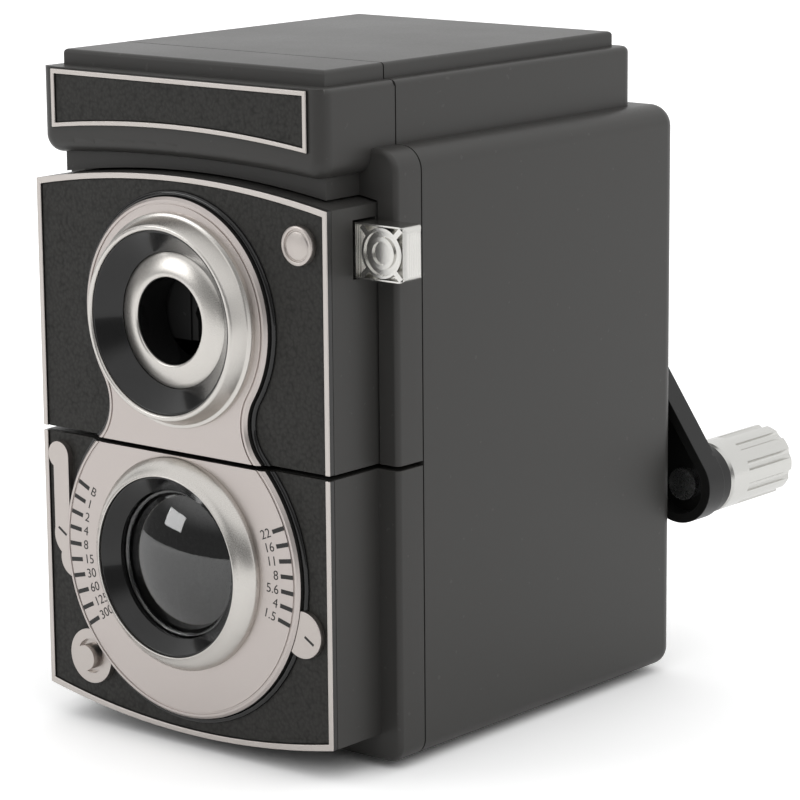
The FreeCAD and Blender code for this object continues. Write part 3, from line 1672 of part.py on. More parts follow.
def make_knob_pin():
    """The shouldered pin that holds the knob, headed inside the hollow of the arm."""
    body = new_body("knob_pin")
    floor = depth(s.arm_front_depth) + s.arm_thickness - s.arm_floor
    head = floor - s.knob_pin_head
    end = depth(s.knob_boss_depth) + s.knob_gap + s.knob_length - s.knob_cap
    turn(
        body,
        [
            (head, 0),
            (head, s.knob_pin_head_radius),
            (floor, s.knob_pin_head_radius),
            (floor, s.knob_pin_radius),
            (end, s.knob_pin_radius),
            (end, 0),
        ],
    )
    x, z = knob_place()
    place(body, x, 0, z)
    return keep(body, "knob_pin")


def make_crank_knob():
    """The turned knob: plain near the arm, fluted over the grip, bored for its pin."""
    body = new_body("crank_knob")
    front = depth(s.knob_boss_depth) + s.knob_gap
    rear = front + s.knob_length
    bore = s.knob_pin_radius + s.running_fit
    bottom = rear - s.knob_cap + s.knob_gap
    edge = s.knob_edge
    turn(
        body,
        [
            (front, bore),
            (front, s.knob_radius - edge),
            (front + edge, s.knob_radius),
            (rear - edge, s.knob_radius),
            (rear, s.knob_radius - edge),
            (rear, 0),
            (bottom, 0),
            (bottom, bore),
        ],
    )
    flute_start = front + s.knob_plain_length
    groove = cut(body, "front", flute_start, rear, Circle(0, s.knob_radius, s.knob_flute_radius))
    ring = body.newObject("PartDesign::PolarPattern", "flutes")
    ring.Originals = [groove]
    ring.Axis = (groove.Profile[0], ["N_Axis"])
    ring.Angle = 360
    ring.setExpression("Occurrences", s.knob_flutes.text)
    body.Tip = ring
    x, z = knob_place()
    place(body, x, 0, z)
    return keep(body, "crank_knob")


def make_trim_buttons():
    """The bright stud in the corner of the upper panel."""
    button("corner_stud", s.stud_radius, s.stud_proud, s.stud_half_width, height(s.stud_height))


def make_clamps():
    make_clamp("right", 1)
    make_clamp("left", -1)


for make in (
    make_rear_housing,
    make_front_cover,
    make_hood_inlay,
    make_feet,
    make_cutter_frame,
    make_frame_screws,
    make_guide_bushes,
    make_rear_bearing,
    make_ring_gear,
    make_carriage_block,
    make_clamp_retainer,
    make_upper_trim,
    make_upper_lens,
    make_pencil_guide,
    make_trim_buttons,
    make_guide_rods,
    make_feed_springs,
    make_clamps,
    make_drawer_front,
    make_drawer_tray,
    make_lower_trim,
    make_lower_lens,
    make_lower_trim_tabs,
    make_cutter_carrier,
    make_helical_cutter,
    make_cutter_pinion,
    make_crank_shaft,
    make_crank_arm,
    make_hub_cap,
    make_knob_pin,
    make_crank_knob,
):
    make()
doc.recompute()

for item in doc.Objects:
    if "Invalid" in item.State or "Error" in item.State:
        raise RuntimeError(f"{item.Label}: {item.State}")
    if item.isDerivedFrom("PartDesign::Pocket") and not item.Shape.Volume < item.BaseFeature.Shape.Volume:
        raise RuntimeError(f"{item.Label}: a cut takes nothing away")
for piece in pieces:
    if piece.Shape.isNull() or not piece.Shape.isValid() or not piece.Shape.Solids:
        raise RuntimeError(f"{piece.Label}: not a valid solid")

os.makedirs("parts", exist_ok=True)
for piece in pieces:
    piece.Shape.exportStep(f"parts/{piece.Label}.step")
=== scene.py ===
import json
import math

import bmesh
import bpy
from mathutils import Matrix, Vector


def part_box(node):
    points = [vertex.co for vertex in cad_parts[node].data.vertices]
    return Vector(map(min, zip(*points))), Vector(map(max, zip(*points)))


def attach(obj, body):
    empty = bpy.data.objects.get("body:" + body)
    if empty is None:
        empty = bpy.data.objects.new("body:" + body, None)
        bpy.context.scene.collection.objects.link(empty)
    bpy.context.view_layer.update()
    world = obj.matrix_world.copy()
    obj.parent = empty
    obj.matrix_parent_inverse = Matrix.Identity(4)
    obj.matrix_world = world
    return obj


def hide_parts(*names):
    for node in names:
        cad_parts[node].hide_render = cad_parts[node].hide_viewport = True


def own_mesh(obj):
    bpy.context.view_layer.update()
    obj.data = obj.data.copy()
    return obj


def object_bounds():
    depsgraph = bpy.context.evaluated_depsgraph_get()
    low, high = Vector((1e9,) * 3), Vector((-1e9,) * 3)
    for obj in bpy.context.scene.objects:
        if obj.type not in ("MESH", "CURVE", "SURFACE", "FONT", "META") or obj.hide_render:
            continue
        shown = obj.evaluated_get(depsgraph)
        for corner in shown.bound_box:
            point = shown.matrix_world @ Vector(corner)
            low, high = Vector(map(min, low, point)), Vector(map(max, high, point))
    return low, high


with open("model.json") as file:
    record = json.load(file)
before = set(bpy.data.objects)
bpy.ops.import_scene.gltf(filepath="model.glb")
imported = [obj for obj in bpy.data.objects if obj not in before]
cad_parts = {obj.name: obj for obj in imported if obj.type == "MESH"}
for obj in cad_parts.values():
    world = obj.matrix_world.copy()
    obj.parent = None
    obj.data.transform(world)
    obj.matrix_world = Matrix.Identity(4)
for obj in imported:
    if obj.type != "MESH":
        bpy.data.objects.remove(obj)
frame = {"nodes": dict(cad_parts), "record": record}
cad_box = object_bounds()

# Rear housing: the moulded black shell with its stepped hood, open at the front.
# It is shot in satin ABS, so the colour is even, with a fine spark-eroded grain on every face.
# The front cover closes it along the parting line.
MM = 0.001
WELD = 0.002 * MM
FLAT_TURN = math.radians(0.6)
EDGE_TURN = math.radians(28)
CASE_EDGE = 0.3 * MM
EDGE_STEPS = 2
HOOD_TOP = 111.4 * MM
HOOD_LEVEL_GAP = 0.02 * MM
HOOD_EDGE = 1.0 * MM
HOOD_EDGE_STEPS = 4
UPRIGHT_TURN = 0.2
DUST_GREY = (0.16, 0.155, 0.15, 1)


class Signal:
    """One socket of a material's node tree. Sums and products of signals add Math nodes."""

    def __init__(self, tree, socket=None):
        self.tree = tree
        self.socket = socket

    def node(self, kind, settings=None, inputs=None, output=0):
        """Add a node: its settings first, then the values or links of its sockets."""
        made = self.tree.nodes.new(f"ShaderNode{kind}")
        for name, value in (settings or {}).items():
            if name == "stops":
                set_stops(made.color_ramp, value)
            else:
                setattr(made, name, value)
        for name, value in (inputs or {}).items():
            if isinstance(value, Signal):
                self.tree.links.new(value.socket, made.inputs[name])
            else:
                made.inputs[name].default_value = value
        return Signal(self.tree, made.outputs[output])

    def also(self, output):
        """Another output of the node that this signal comes from."""
        return Signal(self.tree, self.socket.node.outputs[output])

    def along(self, axis):
        """One part of a vector signal."""
        return self.node("SeparateXYZ", {}, {0: self}, output=axis)

    def maths(self, operation, *values):
        return self.node("Math", {"operation": operation}, dict(enumerate(values)))

    def over(self, level):
        """1 where the signal is greater than a level, and 0 elsewhere."""
        return self.maths("GREATER_THAN", self, level)

    def __add__(self, other):
        return self.maths("ADD", self, other)

    def __radd__(self, other):
        return self.maths("ADD", other, self)

    def __sub__(self, other):
        return self.maths("SUBTRACT", self, other)

    def __rsub__(self, other):
        return self.maths("SUBTRACT", other, self)

    def __mul__(self, other):
        return self.maths("MULTIPLY", self, other)

    def __rmul__(self, other):
        return self.maths("MULTIPLY", other, self)


def set_stops(ramp, stops):
    """Give a colour ramp its stops: pairs of a place and a colour."""
    while len(ramp.elements) < len(stops):
        ramp.elements.new(1.0)
    for element, (position, colour) in zip(ramp.elements, stops):
        element.position = position
        element.color = colour


class Finish:
    """A material of one surface shader, with the signals that vary it over the surface."""

    def __init__(self, name, constants=None):
        self.material = bpy.data.materials.new(name)
        self.material.use_nodes = True
        tree = self.material.node_tree
        self.shader = tree.nodes["Principled BSDF"]
        self.start = Signal(tree)
        self.place = self.start.node("TexCoord", output="Object")
        for socket, value in (constants or {}).items():
            self.shader.inputs[socket].default_value = value

    def feed(self, socket, signal):
        self.start.tree.links.new(signal.socket, self.shader.inputs[socket])

    def noise(self, size, detail=2.0, rough=0.5):
        """A cloudy signal from 0 to 1 whose features have about the given size."""
        inputs = {"Vector": self.place, "Scale": 1 / size, "Detail": detail, "Roughness": rough}
        return self.start.node("TexNoise", {}, inputs)

    def step(self, signal, low, high):
        """A signal that rises from 0 to 1 between two levels of another."""
        stops = ((low, (0, 0, 0, 1)), (high, (1, 1, 1, 1)))
        return self.start.node("ValToRGB", {"stops": stops}, {"Fac": signal})

    def mix(self, share, first, second):
        """A colour between two colours."""
        inputs = {"Factor": share, 6: first, 7: second}
        return self.start.node("Mix", {"data_type": "RGBA"}, inputs, output=2)

    def bump(self, height, distance, strength):
        inputs = {"Height": height, "Distance": distance, "Strength": strength}
        self.feed("Normal", self.start.node("Bump", {}, inputs))


def satin_moulding(name, dark, light, rough):
    """Moulded plastic: even colour, faint handling marks, a fine grain and a few dust specks."""
    finish = Finish(name, {"Specular IOR Level": 0.3})
    marks = finish.noise(38 * MM, 4.0, 0.6)
    grain = finish.noise(0.35 * MM, 2.0)
    specks = finish.step(finish.noise(1.1 * MM, 0.0), 0.82, 0.84)
    colour = finish.mix(marks, (*dark, 1), (*light, 1))
    finish.feed("Base Color", finish.mix(specks * 0.15, colour, DUST_GREY))
    finish.feed("Roughness", rough + (marks - 0.5) * 0.16 + (grain - 0.5) * 0.10)
    finish.bump(grain, 0.02 * MM, 0.35)
    return finish.material


def body_of(node):
    bodies = frame["record"]["behaviour"]["bodies"]
    return next(body for body, nodes in bodies.items() if node in nodes)


def middle_of(node):
    return sum(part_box(node), Vector()) / 2


def linked(name, data):
    """A new object in the scene, with its mesh, curve, lamp or camera."""
    made = bpy.data.objects.new(name, data)
    bpy.context.scene.collection.objects.link(made)
    return made


def stand_for(piece, node):
    """Show a finished piece in the place of a node, on the node's body."""
    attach(piece, body_of(node))
    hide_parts(node)


def welded(node):
    """The node's loose triangles, joined where they meet."""
    work = bmesh.new()
    work.from_mesh(frame["nodes"][node].data)
    bmesh.ops.remove_doubles(work, verts=work.verts, dist=WELD)
    return work


def smooth_mesh(work, name):
    """The mesh of finished work, with every face smooth."""
    for face in work.faces:
        face.smooth = True
    mesh = bpy.data.meshes.new(name)
    work.to_mesh(mesh)
    work.free()
    if "custom_normal" in mesh.attributes:
        mesh.attributes.remove(mesh.attributes["custom_normal"])
    return mesh


def whole_faces(node):
    """The node's mesh with its triangles joined into whole faces.

    Seams across its middle part the faces, so that none runs round a hole.
    """
    work = welded(node)
    middle = middle_of(node)
    for across in ((1, 0, 0), (0, 0, 1)):
        whole = work.verts[:] + work.edges[:] + work.faces[:]
        parted = bmesh.ops.bisect_plane(
            work, geom=whole, plane_co=middle, plane_no=across, dist=WELD
        )
        for part in parted["geom_cut"]:
            if isinstance(part, bmesh.types.BMEdge):
                part.seam = True
    bmesh.ops.dissolve_limit(
        work, angle_limit=FLAT_TURN, verts=work.verts, edges=work.edges, delimit={"SEAM"}
    )
    bmesh.ops.connect_verts_concave(work, faces=work.faces)
    return smooth_mesh(work, f"{node}_mesh")


def dress(node, material, edge):
    """The finished piece of a node: its own shape with rounded edges and a real surface."""
    piece = linked(f"{node}_finished", whole_faces(node))
    piece.data.materials.append(material)
    bevel = piece.modifiers.new("edges", "BEVEL")
    bevel.width = edge
    bevel.segments = EDGE_STEPS
    bevel.limit_method = "ANGLE"
    bevel.angle_limit = EDGE_TURN
    bevel.harden_normals = True
    stand_for(piece, node)
    return piece


def soften(piece, lowest, highest):
    """Round the hood's upper edges over walls whose normal's Y lies between two values."""
    work = bmesh.new()
    work.from_mesh(piece.data)
    chosen = []
    for edge in work.edges:
        if len(edge.link_faces) != 2 or not edge.is_convex:
            continue
        if max(abs(end.co.z - HOOD_TOP) for end in edge.verts) > HOOD_LEVEL_GAP:
            continue
        wall = min(edge.link_faces, key=lambda face: face.normal.z).normal
        if abs(wall.z) < UPRIGHT_TURN and lowest <= wall.y <= highest:
            chosen.append(edge)
    bmesh.ops.bevel(
        work, geom=chosen, offset=HOOD_EDGE, segments=HOOD_EDGE_STEPS, profile=0.5, affect="EDGES"
    )
    for face in work.faces:
        face.smooth = True
    work.to_mesh(piece.data)
    work.free()


case_black = satin_moulding("case_black", (0.046, 0.045, 0.043), (0.057, 0.055, 0.052), 0.40)
housing = dress("rear_housing", case_black, CASE_EDGE)
soften(housing, lowest=-0.5, highest=1.0)

# Front cover: the inverted-U band, the neck over the sliding front and the front of the hood.
# The same satin moulding as the housing, with softer edges where hands touch it.
cover = dress("front_cover", case_black, CASE_EDGE)
soften(cover, lowest=-0.5, highest=0.5)

# Hood front: a thin bright frame let into the hood, round a strip of grained leatherette.
# The frame's face is silver lacquer and its walls are black. Both pieces are glued in.
FLAKE_SIZE = 0.07 * MM
WALL_TURN = -0.25
WALL_BLACK = (0.022, 0.021, 0.020, 1)
FRAME_RIM = 0.15 * MM
TRIM_EDGE = 0.15 * MM
LEATHER_EDGE = 0.1 * MM
PEBBLE_SIZE = 0.62 * MM
PEBBLE_BLACK = (0.020, 0.019, 0.0165, 1)
# Painted shade for the leatherette's creases.
CREASE_SHADE = (0.013, 0.0125, 0.011, 1)


def silver_film(finish, colour, rough):
    """The colour of a satin film full of fine metal flakes, with faint handling marks."""
    flakes = finish.noise(FLAKE_SIZE, 1.0)
    marks = finish.noise(16 * MM, 3.0, 0.6)
    shade = tuple(0.86 * part for part in colour)
    finish.feed("Roughness", rough + (marks - 0.5) * 0.12 + (flakes - 0.5) * 0.12)
    finish.bump(flakes, 0.01 * MM, 0.25)
    return finish.mix(flakes * 0.5 + marks * 0.5, (*shade, 1), (*colour, 1))


def silver_lacquer(name, colour, rough):
    """Silver lacquer on plastic, all over."""
    finish = Finish(name, {"Metallic": 1.0})
    finish.feed("Base Color", silver_film(finish, colour, rough))
    return finish.material


def faced_silver(name, colour, rough, rim_end):
    """Silver lacquer on a face and its rim, and black moulding on the walls behind the rim."""
    finish = Finish(name)
    normal = finish.start.node("NewGeometry", output="True Normal")
    wall = normal.along("Y").over(WALL_TURN) * finish.place.along("Y").over(rim_end)
    finish.feed("Base Color", finish.mix(wall, silver_film(finish, colour, rough), WALL_BLACK))
    finish.feed("Metallic", 1 - wall)
    return finish.material


def grained_leatherette(name):
    """Embossed black leatherette: pebbles between creases that are painted darker as shade, with a
    dull sheen.
    """
    finish = Finish(name, {"Specular IOR Level": 0.35})
    sway = finish.noise(1.6 * MM, 2.0).also("Color")
    moves = {0: sway, 1: (0.9 * MM,) * 3, 2: finish.place}
    wander = finish.start.node("VectorMath", {"operation": "MULTIPLY_ADD"}, moves)
    cells = {"Vector": wander, "Scale": 1 / PEBBLE_SIZE, "Smoothness": 0.6}
    pebbles = finish.start.node("TexVoronoi", {"feature": "SMOOTH_F1"}, cells, output="Distance")
    folds = finish.noise(3.2 * MM, 4.0, 0.65)
    # The creases are painted darker, as shade that falls into them; they are also rougher.
    shaded_crease = finish.step(pebbles, 0.25, 0.85)
    finish.feed("Base Color", finish.mix(shaded_crease, PEBBLE_BLACK, CREASE_SHADE))
    finish.feed("Roughness", 0.46 + shaded_crease * 0.22 + (folds - 0.5) * 0.2)
    finish.bump((1 - pebbles) * 0.5 + folds * 0.9, 0.12 * MM, 0.5)
    return finish.material


frame_rim_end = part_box("hood_trim_frame")[0].y + FRAME_RIM
frame_silver = faced_silver("frame_silver", (0.60, 0.56, 0.53), 0.34, frame_rim_end)
leatherette = grained_leatherette("leatherette")
dress("hood_trim_frame", frame_silver, TRIM_EDGE)
dress("hood_leatherette", leatherette, LEATHER_EDGE)

# Feet: four moulded rubber buttons that the case stands on.
# They are glued under the corners of the housing, and dust sits in their pores.
FOOT_EDGE = 0.25 * MM


def dull_rubber(name):
    """Soft black rubber with dust in its pores."""
    finish = Finish(name)
    pores = finish.noise(0.5 * MM, 3.0)
    colour = finish.mix(pores, (0.014, 0.014, 0.014, 1), (0.035, 0.034, 0.033, 1))
    finish.feed("Base Color", colour)
    finish.feed("Roughness", 0.7 + pores * 0.2)
    finish.bump(pores, 0.05 * MM, 0.4)
    return finish.material


rubber = dull_rubber("foot_rubber")
dress("rubber_feet", rubber, FOOT_EDGE)

# Inside of the case: the cutter frame of dark moulding with its four steel screws,
# the grey acetal bushes of the rods and the shaft, and the fixed ring gear of sintered metal.


def turned_metal(name, colour, rough):
    """Bare machined metal with fine marks of the tool and a trace of oil."""
    finish = Finish(name, {"Metallic": 1.0})
    lines = finish.noise(0.18 * MM, 3.0)
    oil = finish.noise(6 * MM, 3.0)
    shade = tuple(0.72 * part for part in colour)
    finish.feed("Base Color", finish.mix(oil, (*shade, 1), (*colour, 1)))
    finish.feed("Roughness", rough + (lines - 0.5) * 0.16 + (oil - 0.5) * 0.10)
    finish.bump(lines, 0.01 * MM, 0.4)
    return finish.material


def coat(material, *nodes):
    """Give CAD nodes their finish and leave their shape as it is."""
    for node in nodes:
        slots = frame["nodes"][node].data.materials
        slots.clear()
        slots.append(material)


inner_black = satin_moulding("inner_black", (0.014, 0.014, 0.014), (0.020, 0.020, 0.020), 0.55)
acetal = satin_moulding("acetal", (0.085, 0.085, 0.086), (0.11, 0.11, 0.11), 0.42)
steel = turned_metal("bright_steel", (0.60, 0.60, 0.61), 0.28)
gear_metal = turned_metal("sintered_metal", (0.36, 0.35, 0.34), 0.45)
coat(inner_black, "cutter_frame")
coat(acetal, "guide_bushes", "rear_bearing")
coat(gear_metal, "ring_gear")
coat(steel, "frame_screws")

# Feed springs: two coils of steel wire round the rods, between the fixed bushes and the collars.
# In the sharpener they shorten towards the bushes when the front is drawn out, and pull it home
# again; here each coil keeps its length.


def coil_spring(node, joint, axis):
    """The coil of a node as a steel piece on its body; it keeps its length as the joint moves."""
    coil = linked(f"{node}_coil", smooth_mesh(welded(node), f"{node}_mesh"))
    coil.data.materials.append(steel)
    stand_for(coil, node)
    low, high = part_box(node)
    length = (high - low).dot(Vector(axis))
    joints = frame["record"]["behaviour"]["joints"]
    travel = next(row["range_m"][1] for row in joints if row["name"] == joint)
    (length - travel) / length
    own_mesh(coil)


for node in ("right_feed_spring", "left_feed_spring"):
    coil_spring(node, "carriage_slide", (0, 1, 0))

# Sliding front: the black block that carries the pencil clamp, on two steel rods with collars.
# The retainer behind the clamp is dark moulding, and the clamp's springs are steel wire,
# which in the sharpener shortens towards the middle as the tabs are squeezed; here it keeps its
# length.
FRONT_EDGE = 0.2 * MM
dress("carriage_block", case_black, FRONT_EDGE)
coat(inner_black, "clamp_retainer")
coat(steel, "guide_rods", "rod_collars")
coil_spring("right_clamp_spring", "right_clamp_slide", (1, 0, 0))
coil_spring("left_clamp_spring", "left_clamp_slide", (1, 0, 0))

# Upper front: the bright border along the panel's sides and top, and the leatherette inside it.
# Both are made as on the hood, and glued to the front of the block.
dress("upper_trim_frame", frame_silver, TRIM_EDGE)
dress("upper_leatherette", leatherette, LEATHER_EDGE)

# Upper lens mount: the face plate, the turned ring on it, the gloss funnel and the crowned
# ring of the pencil hole. The plate's face is silver and its side wall is left black.
# Both rings are turned: one with a step at its foot, one with a crown and a black tube behind it.
PLATE_RIM = 0.5 * MM
PLATE_EDGE = 0.12 * MM
MOUNT_EDGE = 0.08 * MM
TURN_STEPS = 128
SHARP_TURN = math.radians(38)
UPPER_RING = (
    (15.05, -57.575),
    (17.6, -57.575),
    (17.6, -58.12),
    (17.53, -58.28),
    (17.38, -58.36),
    (17.1, -58.40),
    (16.98, -58.46),
    (16.9, -58.62),
    (16.02, -60.92),
    (15.9, -61.1),
    (15.7, -61.2),
    (15.45, -61.225),
    (15.22, -61.17),
    (15.08, -61.02),
    (15.05, -60.8),
)
GUIDE_CROWN = (
    (11.195, -56.025),
    (11.195, -57.50),
    (11.05, -57.66),
    (10.4, -57.94),
    (9.6, -58.24),
    (8.8, -58.47),
    (8.1, -58.62),
    (7.65, -58.69),
    (7.4, -58.67),
    (7.22, -58.57),
    (7.12, -58.42),
    (7.10, -58.2),
)
GUIDE_TUBE = ((7.1, -51.775), (8.6, -51.775), (8.6, -56.025))


def gloss_moulding(name):
    """Polished black plastic with a little dust and wiping marks."""
    finish = Finish(name, {"Coat Roughness": 0.04, "Specular IOR Level": 0.35})
    wipe = finish.noise(9 * MM, 4.0, 0.6)
    dust = finish.noise(0.6 * MM, 1.0)
    colour = finish.mix(dust, (0.006, 0.006, 0.006, 1), (0.012, 0.012, 0.012, 1))
    finish.feed("Base Color", colour)
    finish.feed("Roughness", 0.10 + wipe * 0.10)
    finish.feed("Coat Weight", 0.34 - wipe * 0.2)
    return finish.material


def skin(work, rings, dark=()):
    """Faces from each ring of points to the next; strips in dark take the second material."""
    for strip, (first, second) in enumerate(zip(rings, rings[1:])):
        for step in range(len(first)):
            corners = (first[step], first[step - 1], second[step - 1], second[step])
            work.faces.new(corners).material_index = int(strip in dark)


def shaped(name, work, *materials):
    """A closed piece from finished work, with its normals outwards and its sharp edges marked."""
    bmesh.ops.recalc_face_normals(work, faces=work.faces)
    mesh = smooth_mesh(work, f"{name}_mesh")
    mesh.set_sharp_from_angle(angle=SHARP_TURN)
    for material in materials:
        mesh.materials.append(material)
    return linked(name, mesh)


def turned(name, node, profile, *materials, dark=()):
    """A piece turned round a node's axis: pairs of a radius and a place along Y, in millimetres.

    A profile that starts on the axis also ends there, and any other one closes on itself.
    """
    middle = middle_of(node)
    turns = [2 * math.pi * step / TURN_STEPS for step in range(TURN_STEPS)]
    work = bmesh.new()
    rings = []
    for radius, along in profile:
        centre = Vector((middle.x, along * MM, middle.z))
        ends = [Vector((math.cos(turn), 0, math.sin(turn))) * radius * MM for turn in turns]
        rings.append([work.verts.new(centre + end) for end in ends])
    if profile[0][0] > 0:
        rings.append(rings[0])
    skin(work, rings, dark)
    bmesh.ops.remove_doubles(work, verts=work.verts, dist=WELD)
    return shaped(name, work, *materials)


plate_rim_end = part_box("upper_lens_plate")[0].y + PLATE_RIM
plate_silver = faced_silver("plate_silver", (0.57, 0.52, 0.495), 0.36, plate_rim_end)
ring_silver = silver_lacquer("ring_silver", (0.66, 0.635, 0.60), 0.28)
gloss_black = gloss_moulding("gloss_black")
dress("upper_lens_plate", plate_silver, PLATE_EDGE)
ring = turned("upper_ring", "upper_lens_ring", UPPER_RING, ring_silver)
stand_for(ring, "upper_lens_ring")
dress("upper_lens_cone", gloss_black, MOUNT_EDGE)
guide_profile = GUIDE_CROWN + GUIDE_TUBE
tube = range(len(GUIDE_CROWN) - 1, len(guide_profile))
guide = turned(
    "pencil_guide", "pencil_guide_ring", guide_profile, ring_silver, gloss_black, dark=tube
)
stand_for(guide, "pencil_guide_ring")

# Corner stud: a round silver button that is fixed on the leatherette.
# It is turned, with a groove inside its rim and a slightly raised middle, and lacquered.
STUD_PROFILE = (
    (0, -56.025),
    (3.2, -56.025),
    (3.2, -56.85),
    (3.12, -57.02),
    (2.95, -57.10),
    (2.72, -57.12),
    (2.6, -57.08),
    (2.5, -56.86),
    (2.36, -56.86),
    (2.26, -56.96),
    (2.05, -57.02),
    (0, -57.10),
)
trim_silver = silver_lacquer("trim_silver", (0.57, 0.525, 0.495), 0.36)
stud = turned("stud", "corner_stud", STUD_PROFILE, trim_silver)
stand_for(stud, "corner_stud")

# Pencil clamp: the two bright squeeze tabs at the sides, each on a dark slider with a rubber pad.
# The tabs are plated plastic, with fine grip lines moulded into the faces that the fingers press.
TAB_EDGE = 0.1 * MM
GRIP_PITCH = 0.42 * MM
SIDE_TURN = 0.95


def gripped_silver(name, colour, rough):
    """Bright plating over moulded grip lines on the faces that look sideways."""
    finish = Finish(name, {"Metallic": 1.0})
    flakes = finish.noise(FLAKE_SIZE, 1.0)
    marks = finish.noise(5 * MM, 3.0, 0.6)
    across = finish.start.node("NewGeometry", output="True Normal").along("X")
    outer = across.maths("ABSOLUTE", across).over(SIDE_TURN)
    depth = finish.place.along("Y")
    lines = depth.maths("SINE", depth * (2 * math.pi / GRIP_PITCH)) * 0.5 + 0.5
    shade = tuple(0.8 * part for part in colour)
    finish.feed("Base Color", finish.mix(flakes * 0.4 + marks * 0.6, (*shade, 1), (*colour, 1)))
    finish.feed("Roughness", rough + (marks - 0.5) * 0.14 + outer * lines * 0.12)
    finish.bump(outer * lines + flakes * 0.05, 0.05 * MM, 0.6)
    return finish.material


bright_tab = gripped_silver("bright_tab", (0.74, 0.73, 0.70), 0.22)
for hand in ("right", "left"):
    dress(f"{hand}_clamp_tab", bright_tab, TAB_EDGE)
    coat(inner_black, f"{hand}_clamp_jaw")
    coat(rubber, f"{hand}_jaw_pad")

# Chip drawer: the black front moulding and the open tray behind it.
# The tray is plain dark moulding, fixed behind the front, and slides in under the cutter.
dress("drawer_front", case_black, FRONT_EDGE)
coat(inner_black, "drawer_tray")

# Lower front: the bright border along the panel's sides and bottom, and the leatherette inside it.
# Both are made as on the upper front, and glued to the front of the drawer.
dress("lower_trim_frame", frame_silver, TRIM_EDGE)
dress("lower_leatherette", leatherette, LEATHER_EDGE)

# Lower lens mount: face plate, turned ring, gloss funnel and the clear moulded dome.
# A thin gloss black disc behind the dome is painted shade: it stands for the dark depth inside, so
# that the dome looks deep.
LENS_RIM = (
    (0, -56.025),
    (12.345, -56.025),
    (12.345, -57.35),
    (12.28, -57.52),
    (12.1, -57.6),
    (11.9, -57.56),
    (11.76, -57.42),
)
DOME_RADIUS = 11.7
DOME_APEX = -60.67
DOME_HEIGHT = 3.3
DOME_STEPS = 28
LENS_SHADE_DISC = ((0, -55.95), (12.3, -55.95), (12.3, -55.35), (0, -55.35))


def clear_acrylic(name):
    """Clear acrylic, polished, with faint wiping marks."""
    finish = Finish(name, {"Transmission Weight": 1.0, "IOR": 1.85})
    wipe = finish.noise(7 * MM, 3.0)
    finish.feed("Base Color", finish.mix(wipe, (0.93, 0.94, 0.95, 1), (0.97, 0.97, 0.97, 1)))
    finish.feed("Roughness", 0.015 + wipe * 0.03)
    return finish.material


dress("lower_lens_plate", plate_silver, PLATE_EDGE)
dress("lower_lens_ring", ring_silver, MOUNT_EDGE)
dress("lower_lens_cone", gloss_black, MOUNT_EDGE)
dome_curve = (DOME_RADIUS**2 + DOME_HEIGHT**2) / (2 * DOME_HEIGHT)
lens_profile = list(LENS_RIM)
for step in range(DOME_STEPS + 1):
    reach = DOME_RADIUS * (1 - step / DOME_STEPS)
    lens_profile.append((reach, DOME_APEX + dome_curve - math.sqrt(dome_curve**2 - reach**2)))
glass = turned("lens_glass", "lower_lens_glass", lens_profile, clear_acrylic("clear_acrylic"))
stand_for(glass, "lower_lens_glass")
# Painted shade: a black disc behind the dome, where the lens looks dark and deep.
shade_disc = turned("lens_shade_disc", "lower_lens_glass", LENS_SHADE_DISC, gloss_black)
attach(shade_disc, "drawer")

# Plate lips: the black moulded edge that stands up from the leatherette round the face plates.
# It follows the plates' common outline and is parted at the seam, one half on each front.
UPPER_PLATE_RADIUS = 20.0
LOWER_PLATE_RADIUS = 26.15
WAIST_RADIUS = 8.0
LIP_STEPS = 40
LIP_PROFILE = (
    (0.06, -56.025),
    (0.06, -56.42),
    (0.16, -56.54),
    (0.32, -56.58),
    (0.62, -56.56),
    (0.82, -56.46),
    (0.94, -56.30),
    (0.98, -56.025),
)


def lip_path(offset):
    """Points along the outline of the face plates, moved outwards, from the lower lens's middle."""
    apart = (middle_of("upper_lens_ring") - middle_of("lower_lens_ring")).z / MM
    up_reach = UPPER_PLATE_RADIUS + WAIST_RADIUS
    low_reach = LOWER_PLATE_RADIUS + WAIST_RADIUS
    rise = (low_reach**2 - up_reach**2 + apart**2) / (2 * apart)
    out = math.sqrt(low_reach**2 - rise**2)
    above = math.atan2(apart - rise, out)
    below = math.atan2(rise, out)
    waist = WAIST_RADIUS - offset
    path = []
    for across, up, radius, first, last in (
        (0, apart, UPPER_PLATE_RADIUS + offset, -above, math.pi + above),
        (-out, rise, waist, above, -below),
        (0, 0, LOWER_PLATE_RADIUS + offset, math.pi - below, 2 * math.pi + below),
        (out, rise, waist, math.pi + below, math.pi - above),
    ):
        for step in range(LIP_STEPS):
            turn = first + (last - first) * step / LIP_STEPS
            path.append((across + radius * math.cos(turn), up + radius * math.sin(turn)))
    return path


def plate_lip(name, body, seam, **cleared):
    """One half of the lip, beside its plate; the part past the seam is cleared."""
    middle = middle_of("lower_lens_ring")
    work = bmesh.new()
    rings = []
    for offset, along in LIP_PROFILE:
        ring = []
        for across, up in lip_path(offset):
            ring.append(work.verts.new((middle.x + across * MM, along * MM, middle.z + up * MM)))
        rings.append(ring)
    skin(work, rings + rings[:1])
    whole = work.verts[:] + work.edges[:] + work.faces[:]
    bmesh.ops.bisect_plane(
        work, geom=whole, plane_co=(0, 0, seam), plane_no=(0, 0, 1), **cleared
    )
    ends = [edge for edge in work.edges if edge.is_boundary]
    bmesh.ops.holes_fill(work, edges=ends, sides=0)
    lip = shaped(name, work, gloss_black)
    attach(lip, body)


plate_lip("upper_plate_lip", "carriage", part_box("upper_lens_plate")[0].z, clear_inner=True)
plate_lip("lower_plate_lip", "drawer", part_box("lower_lens_plate")[1].z, clear_outer=True)

# Lever, pointer and boss: small silver trim beside the lower face plate.
# They are moulded, lacquered and fixed to the drawer's front, and don't move.
for node in ("speed_lever", "aperture_pointer", "flash_boss"):
    dress(node, trim_silver, TRIM_EDGE)

